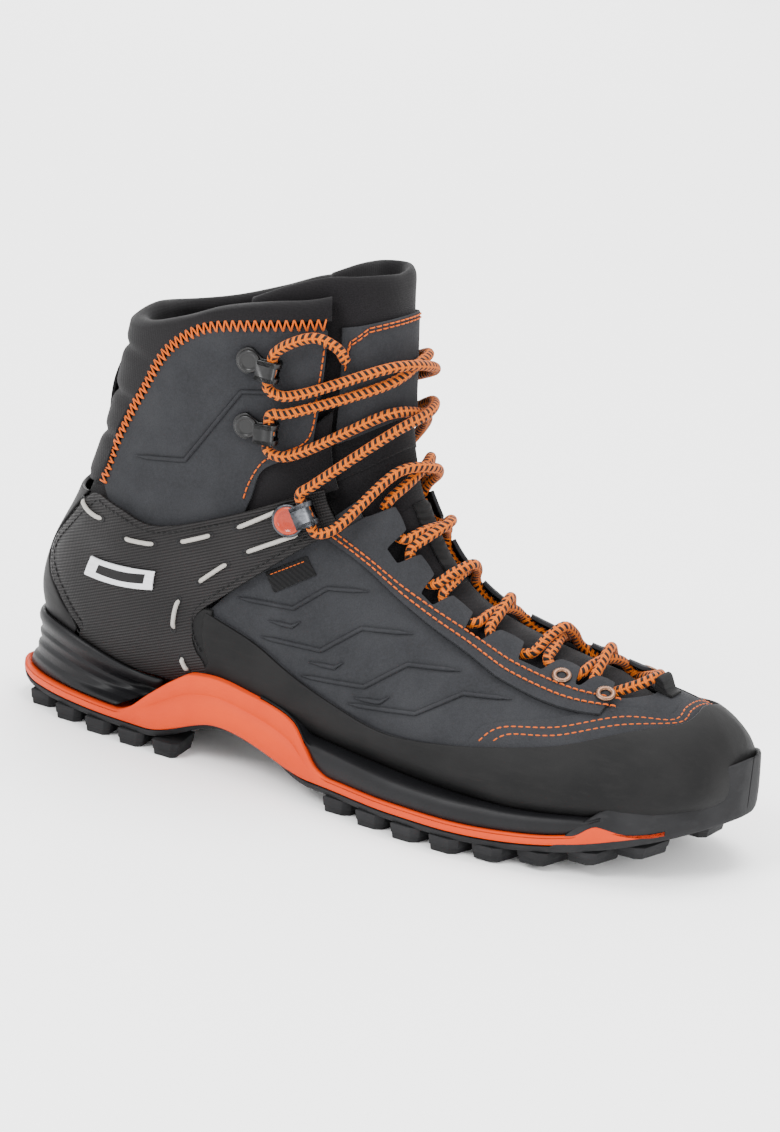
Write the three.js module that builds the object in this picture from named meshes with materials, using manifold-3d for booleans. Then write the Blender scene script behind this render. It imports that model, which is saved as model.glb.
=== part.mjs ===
// A right-foot mid-cut mountain boot, in millimetres: +X to the toe, +Y to the inner (medial) side, +Z up.
// The upper is laid on one last surface, described by section lines that fan from the sole to the instep.
// Every panel is a strip of that surface with an inner and an outer offset, so the layers never cross.
import * as THREE from 'three';
import Module from 'manifold-3d';
import { mergeVertices } from 'three/addons/utils/BufferGeometryUtils.js';

const wasm = await Module();
wasm.setup();

// ---------------------------------------------------------------- driving dimensions
const SOLE_LENGTH = 297;
const BALL_WIDTH = 103;
const TONGUE_HEIGHT = 193;
const LUG_DEPTH = 4.5;
const OUTSOLE_BASE = 4;
const STACK_GAP = 0.3; // clearance between pieces that are glued or stitched face to face
const LINING = { inner: -2.3, outer: -0.4 };
const SUEDE = { inner: 0, outer: 1.5 };
const OVERLAY = { inner: 2.0, outer: 3.7 };
const SLING_RISE = 1.6; // how far the sling stands off the cuff that slides under it
const CABLE_DIAMETER = 1.6;
const LACE_DIAMETER = 4.2;
const EYELET_RADIUS = 3.4;
const EYELET_HOLE = 1.7;
const RIVET_RADIUS = 4.2;
const LOCK_RIVET_RADIUS = 5.4;
const HOOK_WIDTH = 8;
const HOOK_THICKNESS = 1.4;
const SHANK_WIDTH = 26;
const FOOTBED_THICKNESS = 3.5;
const BOARD_THICKNESS = 1.8;

const REFERENCE = { length: 297, width: 103, height: 193 };
const kx = SOLE_LENGTH / REFERENCE.length;
const ky = BALL_WIDTH / REFERENCE.width;
const kz = TONGUE_HEIGHT / REFERENCE.height;
const PI = Math.PI;
const lerp = (a, b, f) => a + (b - a) * f;
const clamp = (v, a, b) => Math.min(b, Math.max(a, v));
const smooth = (v) => {
  const s = clamp(v, 0, 1);
  return s * s * (3 - 2 * s);
};

// ---------------------------------------------------------------- the last surface
// [back x, back z, front x, front z, outer half-width, inner half-width, centre y back, centre y front,
//  fullness, roundness]
const LAST = [
  [291, 31, 291, 40, 0, 0, 10, 10, 0.60, 0.50],
  [289, 29, 288, 48, 17, 16, 10, 10, 0.60, 0.50],
  [283, 26.5, 282, 53, 27, 25, 10, 10, 0.58, 0.50],
  [271, 22.5, 272, 57, 36, 33, 9, 10, 0.56, 0.50],
  [250, 19.5, 253, 61, 43, 39, 6, 9, 0.54, 0.52],
  [226, 18, 232, 65, 46, 42, 2, 8, 0.54, 0.54],
  [198, 18, 208, 70, 45, 42, 0, 6, 0.56, 0.55],
  [168, 19, 187, 77, 41, 39, -1, 4, 0.58, 0.54],
  [136, 21, 172, 88, 37, 36, -1, 3, 0.60, 0.50],
  [98, 23, 162, 102, 34, 34, 0, 2, 0.62, 0.45],
  [58, 24, 156, 115, 33, 33, 0, 1, 0.64, 0.42],
  [24, 26, 153, 126, 33, 33, 0, 1, 0.70, 0.40],
  [11, 41, 151, 136, 33, 33, 0, 0, 0.76, 0.40],
  [12, 60, 149, 146, 33, 33, 0, 0, 0.80, 0.40],
  [21, 82, 148, 154, 33, 33, 0, 0, 0.85, 0.40],
  [28, 103, 147, 162, 34, 34, 0, 0, 0.85, 0.40],
  [33, 124, 146, 170, 35, 35, 0, 0, 0.85, 0.40],
  [36, 142, 145, 178, 36, 36, 0, 0, 0.85, 0.40],
  [39, 159, 144, 187, 37, 37, 0, 0, 0.85, 0.40],
  [41, 176, 143, 203, 38, 38, 0, 0, 0.85, 0.40],
];
const TOP = LAST.length - 1;

function section(u) {
  const i = Math.min(Math.floor(u), TOP - 1);
  const f = u - i;
  const mirrored = LAST[1].map((v, k) => (k === 4 || k === 5 ? -v : v));
  const rows = [i === 0 ? mirrored : LAST[i - 1], LAST[i], LAST[i + 1], LAST[Math.min(i + 2, TOP)]];
  return rows[0].map((_, k) => {
    const [a, b, c, d] = rows.map((row) => row[k]);
    const [slope, bend, twist] = [c - a, 2 * a - 5 * b + 4 * c - d, 3 * b - a - 3 * c + d];
    return 0.5 * (2 * b + slope * f + bend * f * f + twist * f ** 3);
  });
}

// Reference point on the last: phi is 0 on the back line, pi on the front line, negative on the inner side.
function lastPoint(u, phi) {
  const side = u < 0 ? -1 : 1;
  const [bx, bz, fx, fz, wOuter, wInner, yb, yf, p, q] = section(Math.min(Math.abs(u), TOP));
  const t = (1 - Math.cos(phi)) / 2;
  const outerSide = Math.sin(phi) * side >= 0;
  const bulge = Math.max(0, Math.sin(PI * t ** p)) ** q * (outerSide ? -wOuter : wInner);
  const y = lerp(yb, yf, t) + bulge;
  return new THREE.Vector3(lerp(bx, fx, t) * kx, y * ky, lerp(bz, fz, t) * kz);
}

const CORE = new THREE.Vector3(262 * kx, 9 * ky, 38 * kz);
function onLast([u, phi], offset) {
  const e = 0.02;
  const here = lastPoint(u, phi);
  const along = lastPoint(Math.min(u + e, TOP), phi).sub(lastPoint(u - e, phi));
  const across = lastPoint(u, phi + e).sub(lastPoint(u, phi - e));
  const normal = along.cross(across).normalize();
  const [bx, bz, fx, fz, , , yb, yf] = section(Math.abs(u));
  const middle = new THREE.Vector3((bx + fx) / 2 * kx, (yb + yf) / 2 * ky, (bz + fz) / 2 * kz);
  const out = here.clone().sub(Math.abs(u) < 3.2 ? CORE : middle);
  if (normal.dot(out) < 0) normal.negate();
  return here.addScaledVector(normal, offset);
}

// The place on the last seen from the side at reference (x, z).
function locate([x, z]) {
  const miss = (u) => {
    const [bx, bz, fx, fz] = section(u);
    return (fx - bx) * (z - bz) - (fz - bz) * (x - bx);
  };
  const share = (u) => {
    const [bx, bz, fx, fz] = section(u);
    return ((x - bx) * (fx - bx) + (z - bz) * (fz - bz)) / ((fx - bx) ** 2 + (fz - bz) ** 2);
  };
  const step = 0.25;
  for (let u = 0; u < TOP - 1e-6; u += step) {
    let [lo, hi] = [u, Math.min(u + step, TOP)];
    if (miss(lo) * miss(hi) > 0 || Math.abs(share(lo) - 0.5) > 0.62) continue;
    for (let n = 0; n < 18; n++) {
      const mid = (lo + hi) / 2;
      if (miss(lo) * miss(mid) > 0) lo = mid;
      else hi = mid;
    }
    return [lo, Math.acos(1 - 2 * clamp(share(lo), 0, 1))];
  }
  throw new Error(`no place on the last at ${x}, ${z}`);
}

// An edge is a smooth line on the last, spaced evenly in space. Points are side-view [x, z], or {u, phi}.
function edge(points, count) {
  const places = points.map((p) => (Array.isArray(p) ? locate(p) : [p.u, p.phi]));
  const dense = [];
  const pick = (i) => places[clamp(i, 0, places.length - 1)];
  const parts = 16;
  for (let i = 0; i < places.length - 1; i++) {
    for (let n = 0; n < parts; n++) {
      const f = n / parts;
      dense.push([0, 1].map((k) => {
        const [a, b, c, d] = [pick(i - 1)[k], pick(i)[k], pick(i + 1)[k], pick(i + 2)[k]];
        const ta = (c - a) / 2;
        const tb = (d - b) / 2;
        return (2 * b - 2 * c + ta + tb) * f ** 3 + (3 * c - 3 * b - 2 * ta - tb) * f * f + ta * f + b;
      }));
    }
  }
  dense.push(pick(places.length - 1));
  return respace(dense, count);
}

function respace(places, count) {
  const spots = places.map(([u, phi]) => lastPoint(u, phi));
  const run = [0];
  for (let i = 1; i < spots.length; i++) run.push(run[i - 1] + spots[i].distanceTo(spots[i - 1]));
  const out = [];
  let i = 0;
  for (let n = 0; n <= count; n++) {
    const target = (run.at(-1) * n) / count;
    while (i < run.length - 2 && run[i + 1] < target) i++;
    const f = clamp((target - run[i]) / (run[i + 1] - run[i] || 1), 0, 1);
    out.push([lerp(places[i][0], places[i + 1][0], f), lerp(places[i][1], places[i + 1][1], f)]);
  }
  return out;
}

const mirror = ([u, phi]) => [u, -phi];

// ---------------------------------------------------------------- closed bodies
function body(vertices, triangles) {
  const geometry = new THREE.BufferGeometry();
  let volume = 0;
  for (const [a, b, c] of triangles) volume += vertices[a].dot(vertices[b].clone().cross(vertices[c]));
  const index = triangles.flatMap(([a, b, c]) => (volume < 0 ? [a, c, b] : [a, b, c]));
  const positions = vertices.flatMap((v) => v.toArray());
  geometry.setAttribute('position', new THREE.Float32BufferAttribute(positions, 3));
  geometry.setIndex(index);
  return geometry;
}

// A closed shell over a grid of places: rows[i][j] is [u, phi]; inner and outer are offsets, or give one.
function shell(rows, inner, outer) {
  const [n, m] = [rows.length, rows[0].length];
  const level = (value, place) => (typeof value === 'function' ? value(place) : value);
  const vertices = [];
  for (const side of [inner, outer]) {
    for (const place of rows.flat()) vertices.push(onLast(place, level(side, place)));
  }
  const at = (k, i, j) => k * n * m + i * m + j;
  const triangles = [];
  const quad = (a, b, c, d) => triangles.push([a, b, c], [a, c, d]);
  for (let i = 0; i < n - 1; i++) {
    for (let j = 0; j < m - 1; j++) {
      quad(at(1, i, j), at(1, i + 1, j), at(1, i + 1, j + 1), at(1, i, j + 1));
      quad(at(0, i, j), at(0, i, j + 1), at(0, i + 1, j + 1), at(0, i + 1, j));
    }
    quad(at(0, i, 0), at(0, i + 1, 0), at(1, i + 1, 0), at(1, i, 0));
    quad(at(1, i, m - 1), at(1, i + 1, m - 1), at(0, i + 1, m - 1), at(0, i, m - 1));
  }
  for (let j = 0; j < m - 1; j++) {
    quad(at(1, 0, j), at(1, 0, j + 1), at(0, 0, j + 1), at(0, 0, j));
    quad(at(0, n - 1, j), at(0, n - 1, j + 1), at(1, n - 1, j + 1), at(1, n - 1, j));
  }
  return body(vertices, triangles);
}

// Rows between two or more edges of equal length, with `between` steps from each edge to the next.
function span(edges, between) {
  return edges[0].map((_, i) => {
    const row = [edges[0][i]];
    for (let k = 1; k < edges.length; k++) {
      for (let n = 1; n <= between; n++) {
        const f = n / between;
        row.push([0, 1].map((c) => lerp(edges[k - 1][i][c], edges[k][i][c], f)));
      }
    }
    return row;
  });
}

// The same strip carried over to the other side: over the toe, round the heel or over the instep.
const throughToe = (rows) => [...rows, ...rows.slice(0, -1).reverse().map((row) => row.map(mirror))];
const acrossMiddle = (rows) => rows.map((row) => [...row, ...row.slice(0, -1).reverse().map(mirror)]);
const sides = (rows) => ({ lateral: rows, medial: rows.map((row) => row.map(mirror)) });

// A loft through rings of points, closed by flat ends.
function loft(rings) {
  const m = rings[0].length;
  const vertices = rings.flat();
  const triangles = [];
  for (let i = 0; i < rings.length - 1; i++) {
    for (let j = 0; j < m; j++) {
      const k = (j + 1) % m;
      const [a, b, c, d] = [i * m + j, i * m + k, (i + 1) * m + k, (i + 1) * m + j];
      triangles.push([a, b, c], [a, c, d]);
    }
  }
  const cap = (ring, base, flip) => {
    const normal = new THREE.Vector3();
    ring.forEach((p, i) => normal.add(p.clone().cross(ring[(i + 1) % m])));
    const z = normal.normalize();
    const x = new THREE.Vector3(0, 0, 1).cross(z).lengthSq() > 1e-4
      ? new THREE.Vector3(0, 0, 1).cross(z).normalize() : new THREE.Vector3(1, 0, 0);
    const y = z.clone().cross(x);
    const flat = ring.map((p) => new THREE.Vector2(p.dot(x), p.dot(y)));
    for (const [a, b, c] of THREE.ShapeUtils.triangulateShape(flat, [])) {
      triangles.push(flip ? [base + a, base + c, base + b] : [base + a, base + b, base + c]);
    }
  };
  cap(rings[0], 0, true);
  cap(rings.at(-1), (rings.length - 1) * m, false);
  return body(vertices, triangles);
}

function solid(geometry) {
  const plain = geometry.clone();
  plain.deleteAttribute('normal');
  plain.deleteAttribute('uv');
  const merged = mergeVertices(plain, 1e-4);
  return new wasm.Manifold(new wasm.Mesh({
    numProp: 3,
    vertProperties: new Float32Array(merged.attributes.position.array),
    triVerts: new Uint32Array(merged.index.array),
  }));
}

function geometryOf(manifold) {
  const mesh = manifold.getMesh();
  const geometry = new THREE.BufferGeometry();
  geometry.setAttribute('position', new THREE.BufferAttribute(new Float32Array(mesh.vertProperties), 3));
  geometry.setIndex(new THREE.BufferAttribute(new Uint32Array(mesh.triVerts), 1));
  return geometry;
}

// A round tube along a list of points.
function tube(points, diameter, facets, steps) {
  const path = new THREE.CatmullRomCurve3(points, false, 'centripetal');
  const round = new THREE.Shape();
  for (let n = 0; n < facets; n++) {
    const a = (2 * PI * n) / facets;
    const [x, y] = [(diameter / 2) * Math.cos(a), (diameter / 2) * Math.sin(a)];
    if (n === 0) round.moveTo(x, y);
    else round.lineTo(x, y);
  }
  round.closePath();
  return new THREE.ExtrudeGeometry(round, { steps, extrudePath: path, curveSegments: 1 });
}

// ---------------------------------------------------------------- materials
function paint(color, roughness, metalness = 0) {
  return new THREE.MeshStandardMaterial({ color, roughness, metalness });
}
const suede = paint(0x46484e, 0.95);
const softshell = paint(0x2e2c2f, 0.85);
const rubber = paint(0x2b2b2d, 0.6);
const outsoleRubber = paint(0x3a3b3d, 0.8);
const orangeFoam = paint(0xff6b3c, 0.6);
const blackFoam = paint(0x222224, 0.55);
const slingFabric = paint(0x4c4a4b, 0.7);
const meshLining = paint(0x333438, 0.95);
const board = paint(0xb9ab8e, 0.9);
const stiffener = paint(0xd8d4c8, 0.6);
const orangeLace = paint(0xf0883c, 0.85);
const paleCable = paint(0xc9c5be, 0.5);
const blackMetal = paint(0x1d1f22, 0.25, 0.9);
const orangeRivet = paint(0xf2622e, 0.3);
const silverBadge = paint(0xcfd0d2, 0.35, 0.3);
const blackWebbing = paint(0x1c1c1e, 0.9);

const boot = new THREE.Group();
function add(name, geometry, material) {
  const mesh = new THREE.Mesh(geometry, material);
  mesh.name = name;
  boot.add(mesh);
  return mesh;
}

// ---------------------------------------------------------------- sole
const OUTER_OUTLINE = [[0, 0], [2, -13], [8, -20], [19, -27], [35, -33], [55, -37], [85, -39], [120, -40],
  [150, -44], [185, -51], [205, -52], [225, -49], [250, -42], [270, -31], [285, -16], [294, 0], [297, 14]];
const INNER_OUTLINE = [[0, 0], [2, 13], [8, 20], [19, 27], [35, 33], [55, 36], [85, 35], [120, 35],
  [160, 39], [200, 46], [235, 49], [265, 46], [285, 39], [294, 28], [297, 14]];
const ARCH = { start: 72, peak: 104, end: 148, rise: 9 };
const TOE_SPRING = { start: 215, rise: 16 };
const HEEL_BEVEL = { length: 14, rise: 2.5 };

function outlineY(points, x) {
  const i = clamp(points.findIndex(([px]) => px > x) - 1, 0, points.length - 2);
  const [[x0, y0], [x1, y1]] = [points[i], points[i + 1]];
  return lerp(y0, y1, clamp((x - x0) / (x1 - x0), 0, 1));
}
const springAt = (x) => {
  const toe = Math.max(0, (x - TOE_SPRING.start) / (REFERENCE.length - TOE_SPRING.start));
  const heel = Math.max(0, 1 - x / HEEL_BEVEL.length);
  return toe ** 2 * TOE_SPRING.rise + heel ** 2 * HEEL_BEVEL.rise;
};
const archAt = (x) => {
  if (x <= ARCH.start || x >= ARCH.end) return 0;
  const climb = (x - ARCH.start) / (ARCH.peak - ARCH.start);
  const descent = (ARCH.end - x) / (ARCH.end - ARCH.peak);
  return ARCH.rise * smooth(x < ARCH.peak ? climb : descent);
};
const profile = (points) => (x) => outlineY(points, x);
const outsoleTop = (x) => LUG_DEPTH + OUTSOLE_BASE + springAt(x) + archAt(x);
const midsoleRim = profile([[0, 13], [20, 12.6], [58, 12.6], [64, 15], [72, 22], [82, 30], [90, 34.5],
  [100, 35.5], [115, 33.5], [130, 30.5], [136, 28], [143, 21], [150, 14.5], [156, 12.6], [215, 12.6],
  [235, 13.6], [254, 16.5], [262, 23], [275, 24.5], [290, 26.5], [297, 29]]);
const MIDSOLE_FLOOR_THICKNESS = 1.8;
function midsoleFloor(x) {
  return Math.max(outsoleTop(x) + MIDSOLE_FLOOR_THICKNESS, 11.2 + Math.min(springAt(x), 12));
}

// Height of the bottom of the upper.
const floorZ = profile([[0, 26], [24, 26], [58, 24], [98, 23], [136, 21], [168, 19], [198, 18], [226, 18],
  [250, 19.5], [271, 22.5], [283, 26.5], [300, 30]]);

const SOLE_STATIONS = [0.6, 2, 5, 8, 13, 19, 27, 35, 55, 64, 72, 78, 85, 92, 100, 115, 130, 136, 143, 150,
  156, 185, 205, 225, 250, 258, 265, 275, 285, 290, 294, 296.4];
const at = (x, y, z) => new THREE.Vector3(x * kx, y * ky, z * kz);

// Ring of a plain sole layer at x: bottom and top heights, with an inset from the outline.
function layerRing(x, bottom, top, inset) {
  const outer = Math.min(outlineY(OUTER_OUTLINE, x) + inset, outlineY(OUTER_OUTLINE, x) * 0.2 + 8);
  const inner = Math.max(outlineY(INNER_OUTLINE, x) - inset, outer + 0.8);
  return [at(x, outer, bottom), at(x, inner, bottom), at(x, inner, top), at(x, outer, top)];
}

// The last as one solid, grown by an offset: it hollows the sole for the upper and trims what lies inside.
function lastSolid(offset, from, to, step, facets) {
  const rings = [];
  for (let u = from; u <= to + 1e-9; u += step) {
    const ring = [];
    for (let n = 0; n < facets; n++) ring.push(onLast([u, (2 * PI * (n + 0.5)) / facets], offset));
    rings.push(ring);
  }
  return solid(loft(rings));
}
const upperSolid = lastSolid(OVERLAY.outer + STACK_GAP + 0.1, 0.25, 13.5, 0.25, 44);
const hollowed = (geometry) => geometryOf(solid(geometry).subtract(upperSolid));

const LUG = { length: 9, side: 17, toeSide: 16, middle: 16, rim: 3.2, flare: 0.9, root: 1 };
const HEEL_LUGS = [18, 34, 50, 66, 82];
const TOE_LUGS = [160, 176, 192, 208, 224, 240, 256, 270];
const MIDDLE_LUGS = [26, 58, 168, 184, 200, 216, 232, 248, 282];
function makeOutsole() {
  const plate = loft(SOLE_STATIONS.map((x) => {
    const tuck = archAt(x) > 0 ? 5 * Math.min(1, archAt(x) / 5) : 0;
    return layerRing(x, outsoleTop(x) - OUTSOLE_BASE, outsoleTop(x), 0.6 + tuck);
  }));
  let sole = solid(plate);
  const lug = (x, y0, y1) => {
    const top = LUG_DEPTH + springAt(x) + LUG.root;
    const foot = springAt(x + (LUG.length / 2) * Math.sign(x - 150));
    const ring = (z, grow) => [
      at(x - LUG.length / 2 - grow, y0 - grow, z), at(x + LUG.length / 2 + grow, y0 - grow, z),
      at(x + LUG.length / 2 + grow, y1 + grow, z), at(x - LUG.length / 2 - grow, y1 + grow, z)];
    return solid(loft([ring(foot, 0), ring(top, LUG.flare)]));
  };
  const lugs = [];
  // A side lug takes its place from the end of it that the outline draws in.
  const sideLugs = (x, outerEnd, innerEnd, width) => {
    const outer = outlineY(OUTER_OUTLINE, x + outerEnd) + LUG.rim;
    const inner = outlineY(INNER_OUTLINE, x + innerEnd) - LUG.rim;
    lugs.push(lug(x, outer, outer + width), lug(x, inner - width, inner));
  };
  for (const x of HEEL_LUGS) sideLugs(x, -4, -4, LUG.side);
  for (const x of TOE_LUGS) sideLugs(x, x <= 200 ? -4 : 5, x > 235 ? 5 : -4, LUG.toeSide);
  for (const x of MIDDLE_LUGS) {
    const middle = (outlineY(OUTER_OUTLINE, x) + outlineY(INNER_OUTLINE, x)) / 2;
    lugs.push(lug(x, middle - LUG.middle / 2, middle + LUG.middle / 2));
  }
  for (const piece of lugs) sole = sole.add(piece);
  return geometryOf(sole);
}
add('outsole', makeOutsole(), outsoleRubber);

// The midsole is a tray whose rim climbs the arch on both sides; the upper hollows it.
const RIM_WALL = 4.5;
const ARCH_WALL = 15;
function trayRing(x) {
  const bottom = outsoleTop(x) + STACK_GAP;
  const floor = midsoleFloor(x);
  const top = Math.max(midsoleRim(x), floor + 0.8);
  const climb = smooth((top - 16) / 12) * (x < 200 ? 1 : 0);
  const [outer, inner] = [outlineY(OUTER_OUTLINE, x), outlineY(INNER_OUTLINE, x)];
  const lip = Math.min(lerp(RIM_WALL, ARCH_WALL, climb), (inner - outer) * 0.3);
  const lean = 1.5 * climb;
  return [
    at(x, outer, bottom), at(x, inner, bottom), at(x, inner - lean, top), at(x, inner - lip, top),
    at(x, inner - lip, floor), at(x, outer + lip, floor), at(x, outer + lip, top), at(x, outer + lean, top),
  ];
}
const MIDSOLE_TIP = 258;
const MIDSOLE_BACK = 2;
const BUMPER_TIP = 290;
const trayStations = (from, to) => [from, ...SOLE_STATIONS.filter((x) => x > from && x < to), to];
add('midsole', hollowed(loft(trayStations(MIDSOLE_BACK, MIDSOLE_TIP).map(trayRing))), orangeFoam);
// The toe bumper carries the same tray on round the toe, in outsole rubber.
const bumperStations = trayStations(MIDSOLE_TIP + STACK_GAP / kx, BUMPER_TIP);
add('toe_bumper', hollowed(loft(bumperStations.map(trayRing))), outsoleRubber);

// Black foam wedge between the orange midsole and the upper.
const WEDGE_STATIONS = SOLE_STATIONS.filter((x) => x > 25 && x < 255);
const WEDGE_INSET = { heel: 18, forefoot: 1.4 };
add('eva_wedge', hollowed(loft(WEDGE_STATIONS.map((x) => {
  const rim = Math.max(midsoleRim(x), midsoleFloor(x) + 0.8);
  const bottom = lerp(midsoleFloor(x), rim, smooth((x - 145) / 5)) + STACK_GAP;
  const top = Math.max(bottom + 1, floorZ(x) + 2);
  const inset = lerp(WEDGE_INSET.heel, WEDGE_INSET.forefoot, smooth((x - 151) / 8));
  return layerRing(x, bottom, top, inset);
}))), blackFoam);

// The heel cup wraps the back of the upper, from a wide foot on the midsole to a thin lip.
const HEEL_CUP = { front: 57, slant: 1.0, top: 31, foot: 13.8, steps: 12 };
function heelCup() {
  const ring = (s, side) => {
    const reach = (back, z) => back + (HEEL_CUP.front + (z - HEEL_CUP.foot) * HEEL_CUP.slant - back)
      * (1 - Math.sin((PI * s) / 2));
    const wall = (z, offset) => {
      const backU = locateBack(z);
      const x = reach(backU.x + 0.3, z);
      const place = s > 0.999 ? [backU.u, 0] : locate([x, z]);
      return onLast(side < 0 ? place : mirror(place), offset);
    };
    const floorPoint = (inset, z) => {
      const x = reach(inset, z);
      const outline = side < 0 ? OUTER_OUTLINE : INNER_OUTLINE;
      const y = outlineY(outline, Math.max(0, x - inset));
      const squeeze = 1 - inset / 40;
      return at(x, y * squeeze, z);
    };
    const dip = 3.5 * smooth((reach(8, HEEL_CUP.top) - 50) / 30); // the lip runs down towards its front ends
    const top = HEEL_CUP.top - dip;
    const offset = OVERLAY.outer + 0.5;
    return [floorPoint(15, HEEL_CUP.foot), floorPoint(3.2, HEEL_CUP.foot), floorPoint(4.2, 17),
      wall(27, offset + 3.4), wall(top, offset + 1.9), wall(top, offset), wall(27, offset)];
  };
  const rings = [];
  for (let n = 0; n <= HEEL_CUP.steps; n++) rings.push(ring(n / HEEL_CUP.steps, -1));
  for (let n = HEEL_CUP.steps - 1; n >= 0; n--) rings.push(ring(n / HEEL_CUP.steps, 1));
  return loft(rings);
}
function locateBack(z) {
  for (let u = 10.5; u < TOP; u += 0.01) {
    const [bx, bz] = section(u);
    if (bz >= z) return { u, x: bx };
  }
  throw new Error(`the back line stays below ${z}`);
}
add('heel_cup', hollowed(heelCup()), blackFoam);

// ---------------------------------------------------------------- upper: foot
const RAND_TOP = [[92.5, 59], [113, 53], [133, 45], [155, 39], [177, 35.5], [200, 37], [222, 40], [243, 44],
  [258, 49], { u: 2.75, phi: 0.82 * PI }, { u: 2.75, phi: PI }];
const THROAT_PHI = 0.775;
const TAB_PHI = 0.865;
const THROAT_TOE = 3.75;
const TOE_COLUMNS = 16;
const footBottom = [{ u: 9.45, phi: 0.13 * PI }, { u: 6, phi: 0.13 * PI }, { u: 3, phi: 0.12 * PI },
  { u: 1.2, phi: 0.16 * PI }, { u: 0, phi: 0.22 * PI }];
const footMiddle = [{ u: 9.45, phi: 0.3 * PI }, { u: 6, phi: 0.33 * PI }, { u: 3, phi: 0.5 * PI },
  { u: 1.2, phi: 0.66 * PI }, { u: 0, phi: 0.8 * PI }];

const throatEdge = (rear, share) => [rear, 7.5, 5.5].map((u) => ({ u, phi: share * PI })).concat([
  { u: 4.3, phi: lerp(share, 1, 0.12) * PI },
  { u: THROAT_TOE, phi: lerp(share, 1, 0.6) * PI },
  { u: THROAT_TOE, phi: PI },
]);

// All panels of the forefoot share one grid: sole edge, side, rand line, throat.
const BAND = 2;
const footRows = throughToe(span([footBottom, footMiddle, RAND_TOP, throatEdge(10.5, THROAT_PHI)]
  .map((points) => edge(points, TOE_COLUMNS)), BAND));
const randRows = footRows.map((row) => row.slice(0, 2 * BAND + 1));
const liningRows = footRows.map((row) => row.slice(1));
const PUFF_COLUMNS = 5;
const puffRows = footRows.slice(TOE_COLUMNS - PUFF_COLUMNS, TOE_COLUMNS + PUFF_COLUMNS + 1)
  .map((row) => row.slice(1, 2 * BAND + 1));
add('toe_rand', shell(randRows, OVERLAY.inner, OVERLAY.outer), rubber);
add('vamp', shell(footRows, SUEDE.inner, SUEDE.outer), suede);
add('lining_foot', shell(liningRows, LINING.inner, LINING.outer), meshLining);
add('toe_puff', shell(puffRows, LINING.inner - 1.6, LINING.inner - STACK_GAP), stiffener);

// Stiff pieces inside the foot: board, shank, footbed and heel counter.
const BOARD_RISE = 2.2;
const FOOTBED_RISE = BOARD_RISE + BOARD_THICKNESS + STACK_GAP;
const FLOOR_STATIONS = [22, 27, 35, 45, 60, 80, 100, 120, 140, 160, 180, 200, 220, 240, 255, 265, 273, 280];
function floorPlate(rise, thickness, inset, envelope) {
  const ring = (x) => layerRing(x, floorZ(x) + rise, floorZ(x) + rise + thickness, inset);
  const plate = loft(FLOOR_STATIONS.map(ring));
  return geometryOf(solid(plate).intersect(lastSolid(envelope, 0.4, 13.5, 0.65, 26)));
}
add('lasting_board', floorPlate(BOARD_RISE, BOARD_THICKNESS, 8, SUEDE.inner - 2), board);
add('footbed', floorPlate(FOOTBED_RISE, FOOTBED_THICKNESS, 8, LINING.inner - 0.9), softshell);

const THROUGH_HEEL_COLUMNS = 8;
function heelWrap(edges, inner, outer, steps) {
  const lines = edges.map((points) => edge(points, THROUGH_HEEL_COLUMNS));
  return shell(acrossMiddle(span(lines, steps)), inner, outer);
}
const backLine = (u0, u1) => [{ u: u0, phi: 0 }, { u: u1, phi: 0 }];

// ---------------------------------------------------------------- upper: heel sling
const SLING_REAR = [[35, 35], [35.5, 40], [26, 49], [21, 55], [18, 64], [27, 77], [38, 90]];
const SLING_TOP = [[53, 89.5], [70, 87.5], [98, 98], [118, 108], [130, 114]];
const SLING_FRONT = [[94, 39], [90, 44], [88, 50], [89.5, 58], [102, 69], [125, 89], [138, 100]];
const SLING_COLUMNS = 20;
const slingRear = edge([...SLING_REAR, ...SLING_TOP], SLING_COLUMNS);
const slingRows = span([slingRear, edge(SLING_FRONT, SLING_COLUMNS)], 5);
const slingLift = (base) => (place) => {
  const spot = lastPoint(...place);
  return base + SLING_RISE * smooth((spot.z / kz - 58) / 22) * smooth((spot.x / kx - 36) / 20);
};
for (const [side, rows] of Object.entries(sides(slingRows))) {
  add(`sling_${side}`, shell(rows, slingLift(OVERLAY.inner), slingLift(OVERLAY.outer)), slingFabric);
}
const BACKSTAY_EDGE = [[33, 34.5], [33.7, 39.5], [24.5, 48.5], [19, 55], [16.2, 64], [25, 77.5], [34, 89.5]];
const backstay = heelWrap([BACKSTAY_EDGE, backLine(11.55, 14.4)], OVERLAY.inner, OVERLAY.outer, 5);
add('backstay', backstay, blackFoam);

const COUNTER_EDGE = [[66, 31], [66, 40], [62, 52], [50, 62], [38, 70]];
const COUNTER_MIDDLE = [{ u: 11.2, phi: 0.2 * PI }, { u: 13.2, phi: 0.12 * PI }];
const counterLines = [COUNTER_EDGE, COUNTER_MIDDLE, backLine(11.5, 13.4)];
// The counter lies in the suede layer, inside the backstay.
const counter = solid(heelWrap(counterLines, SUEDE.inner + 0.2, SUEDE.outer - 0.2, 3));
add('heel_counter', geometryOf(counter.subtract(solid(backstay))), stiffener);
const HEEL_LINING_EDGE = [[78, 31], [78, 45], [78, 58], [68, 72], [48, 80]];
const HEEL_LINING_MIDDLE = [{ u: 11, phi: 0.2 * PI }, { u: 13.8, phi: 0.12 * PI }];
const heelLiningLines = [HEEL_LINING_EDGE, HEEL_LINING_MIDDLE, backLine(11.3, 14.1)];
add('lining_heel', heelWrap(heelLiningLines, LINING.inner, LINING.outer, 3), meshLining);

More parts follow.
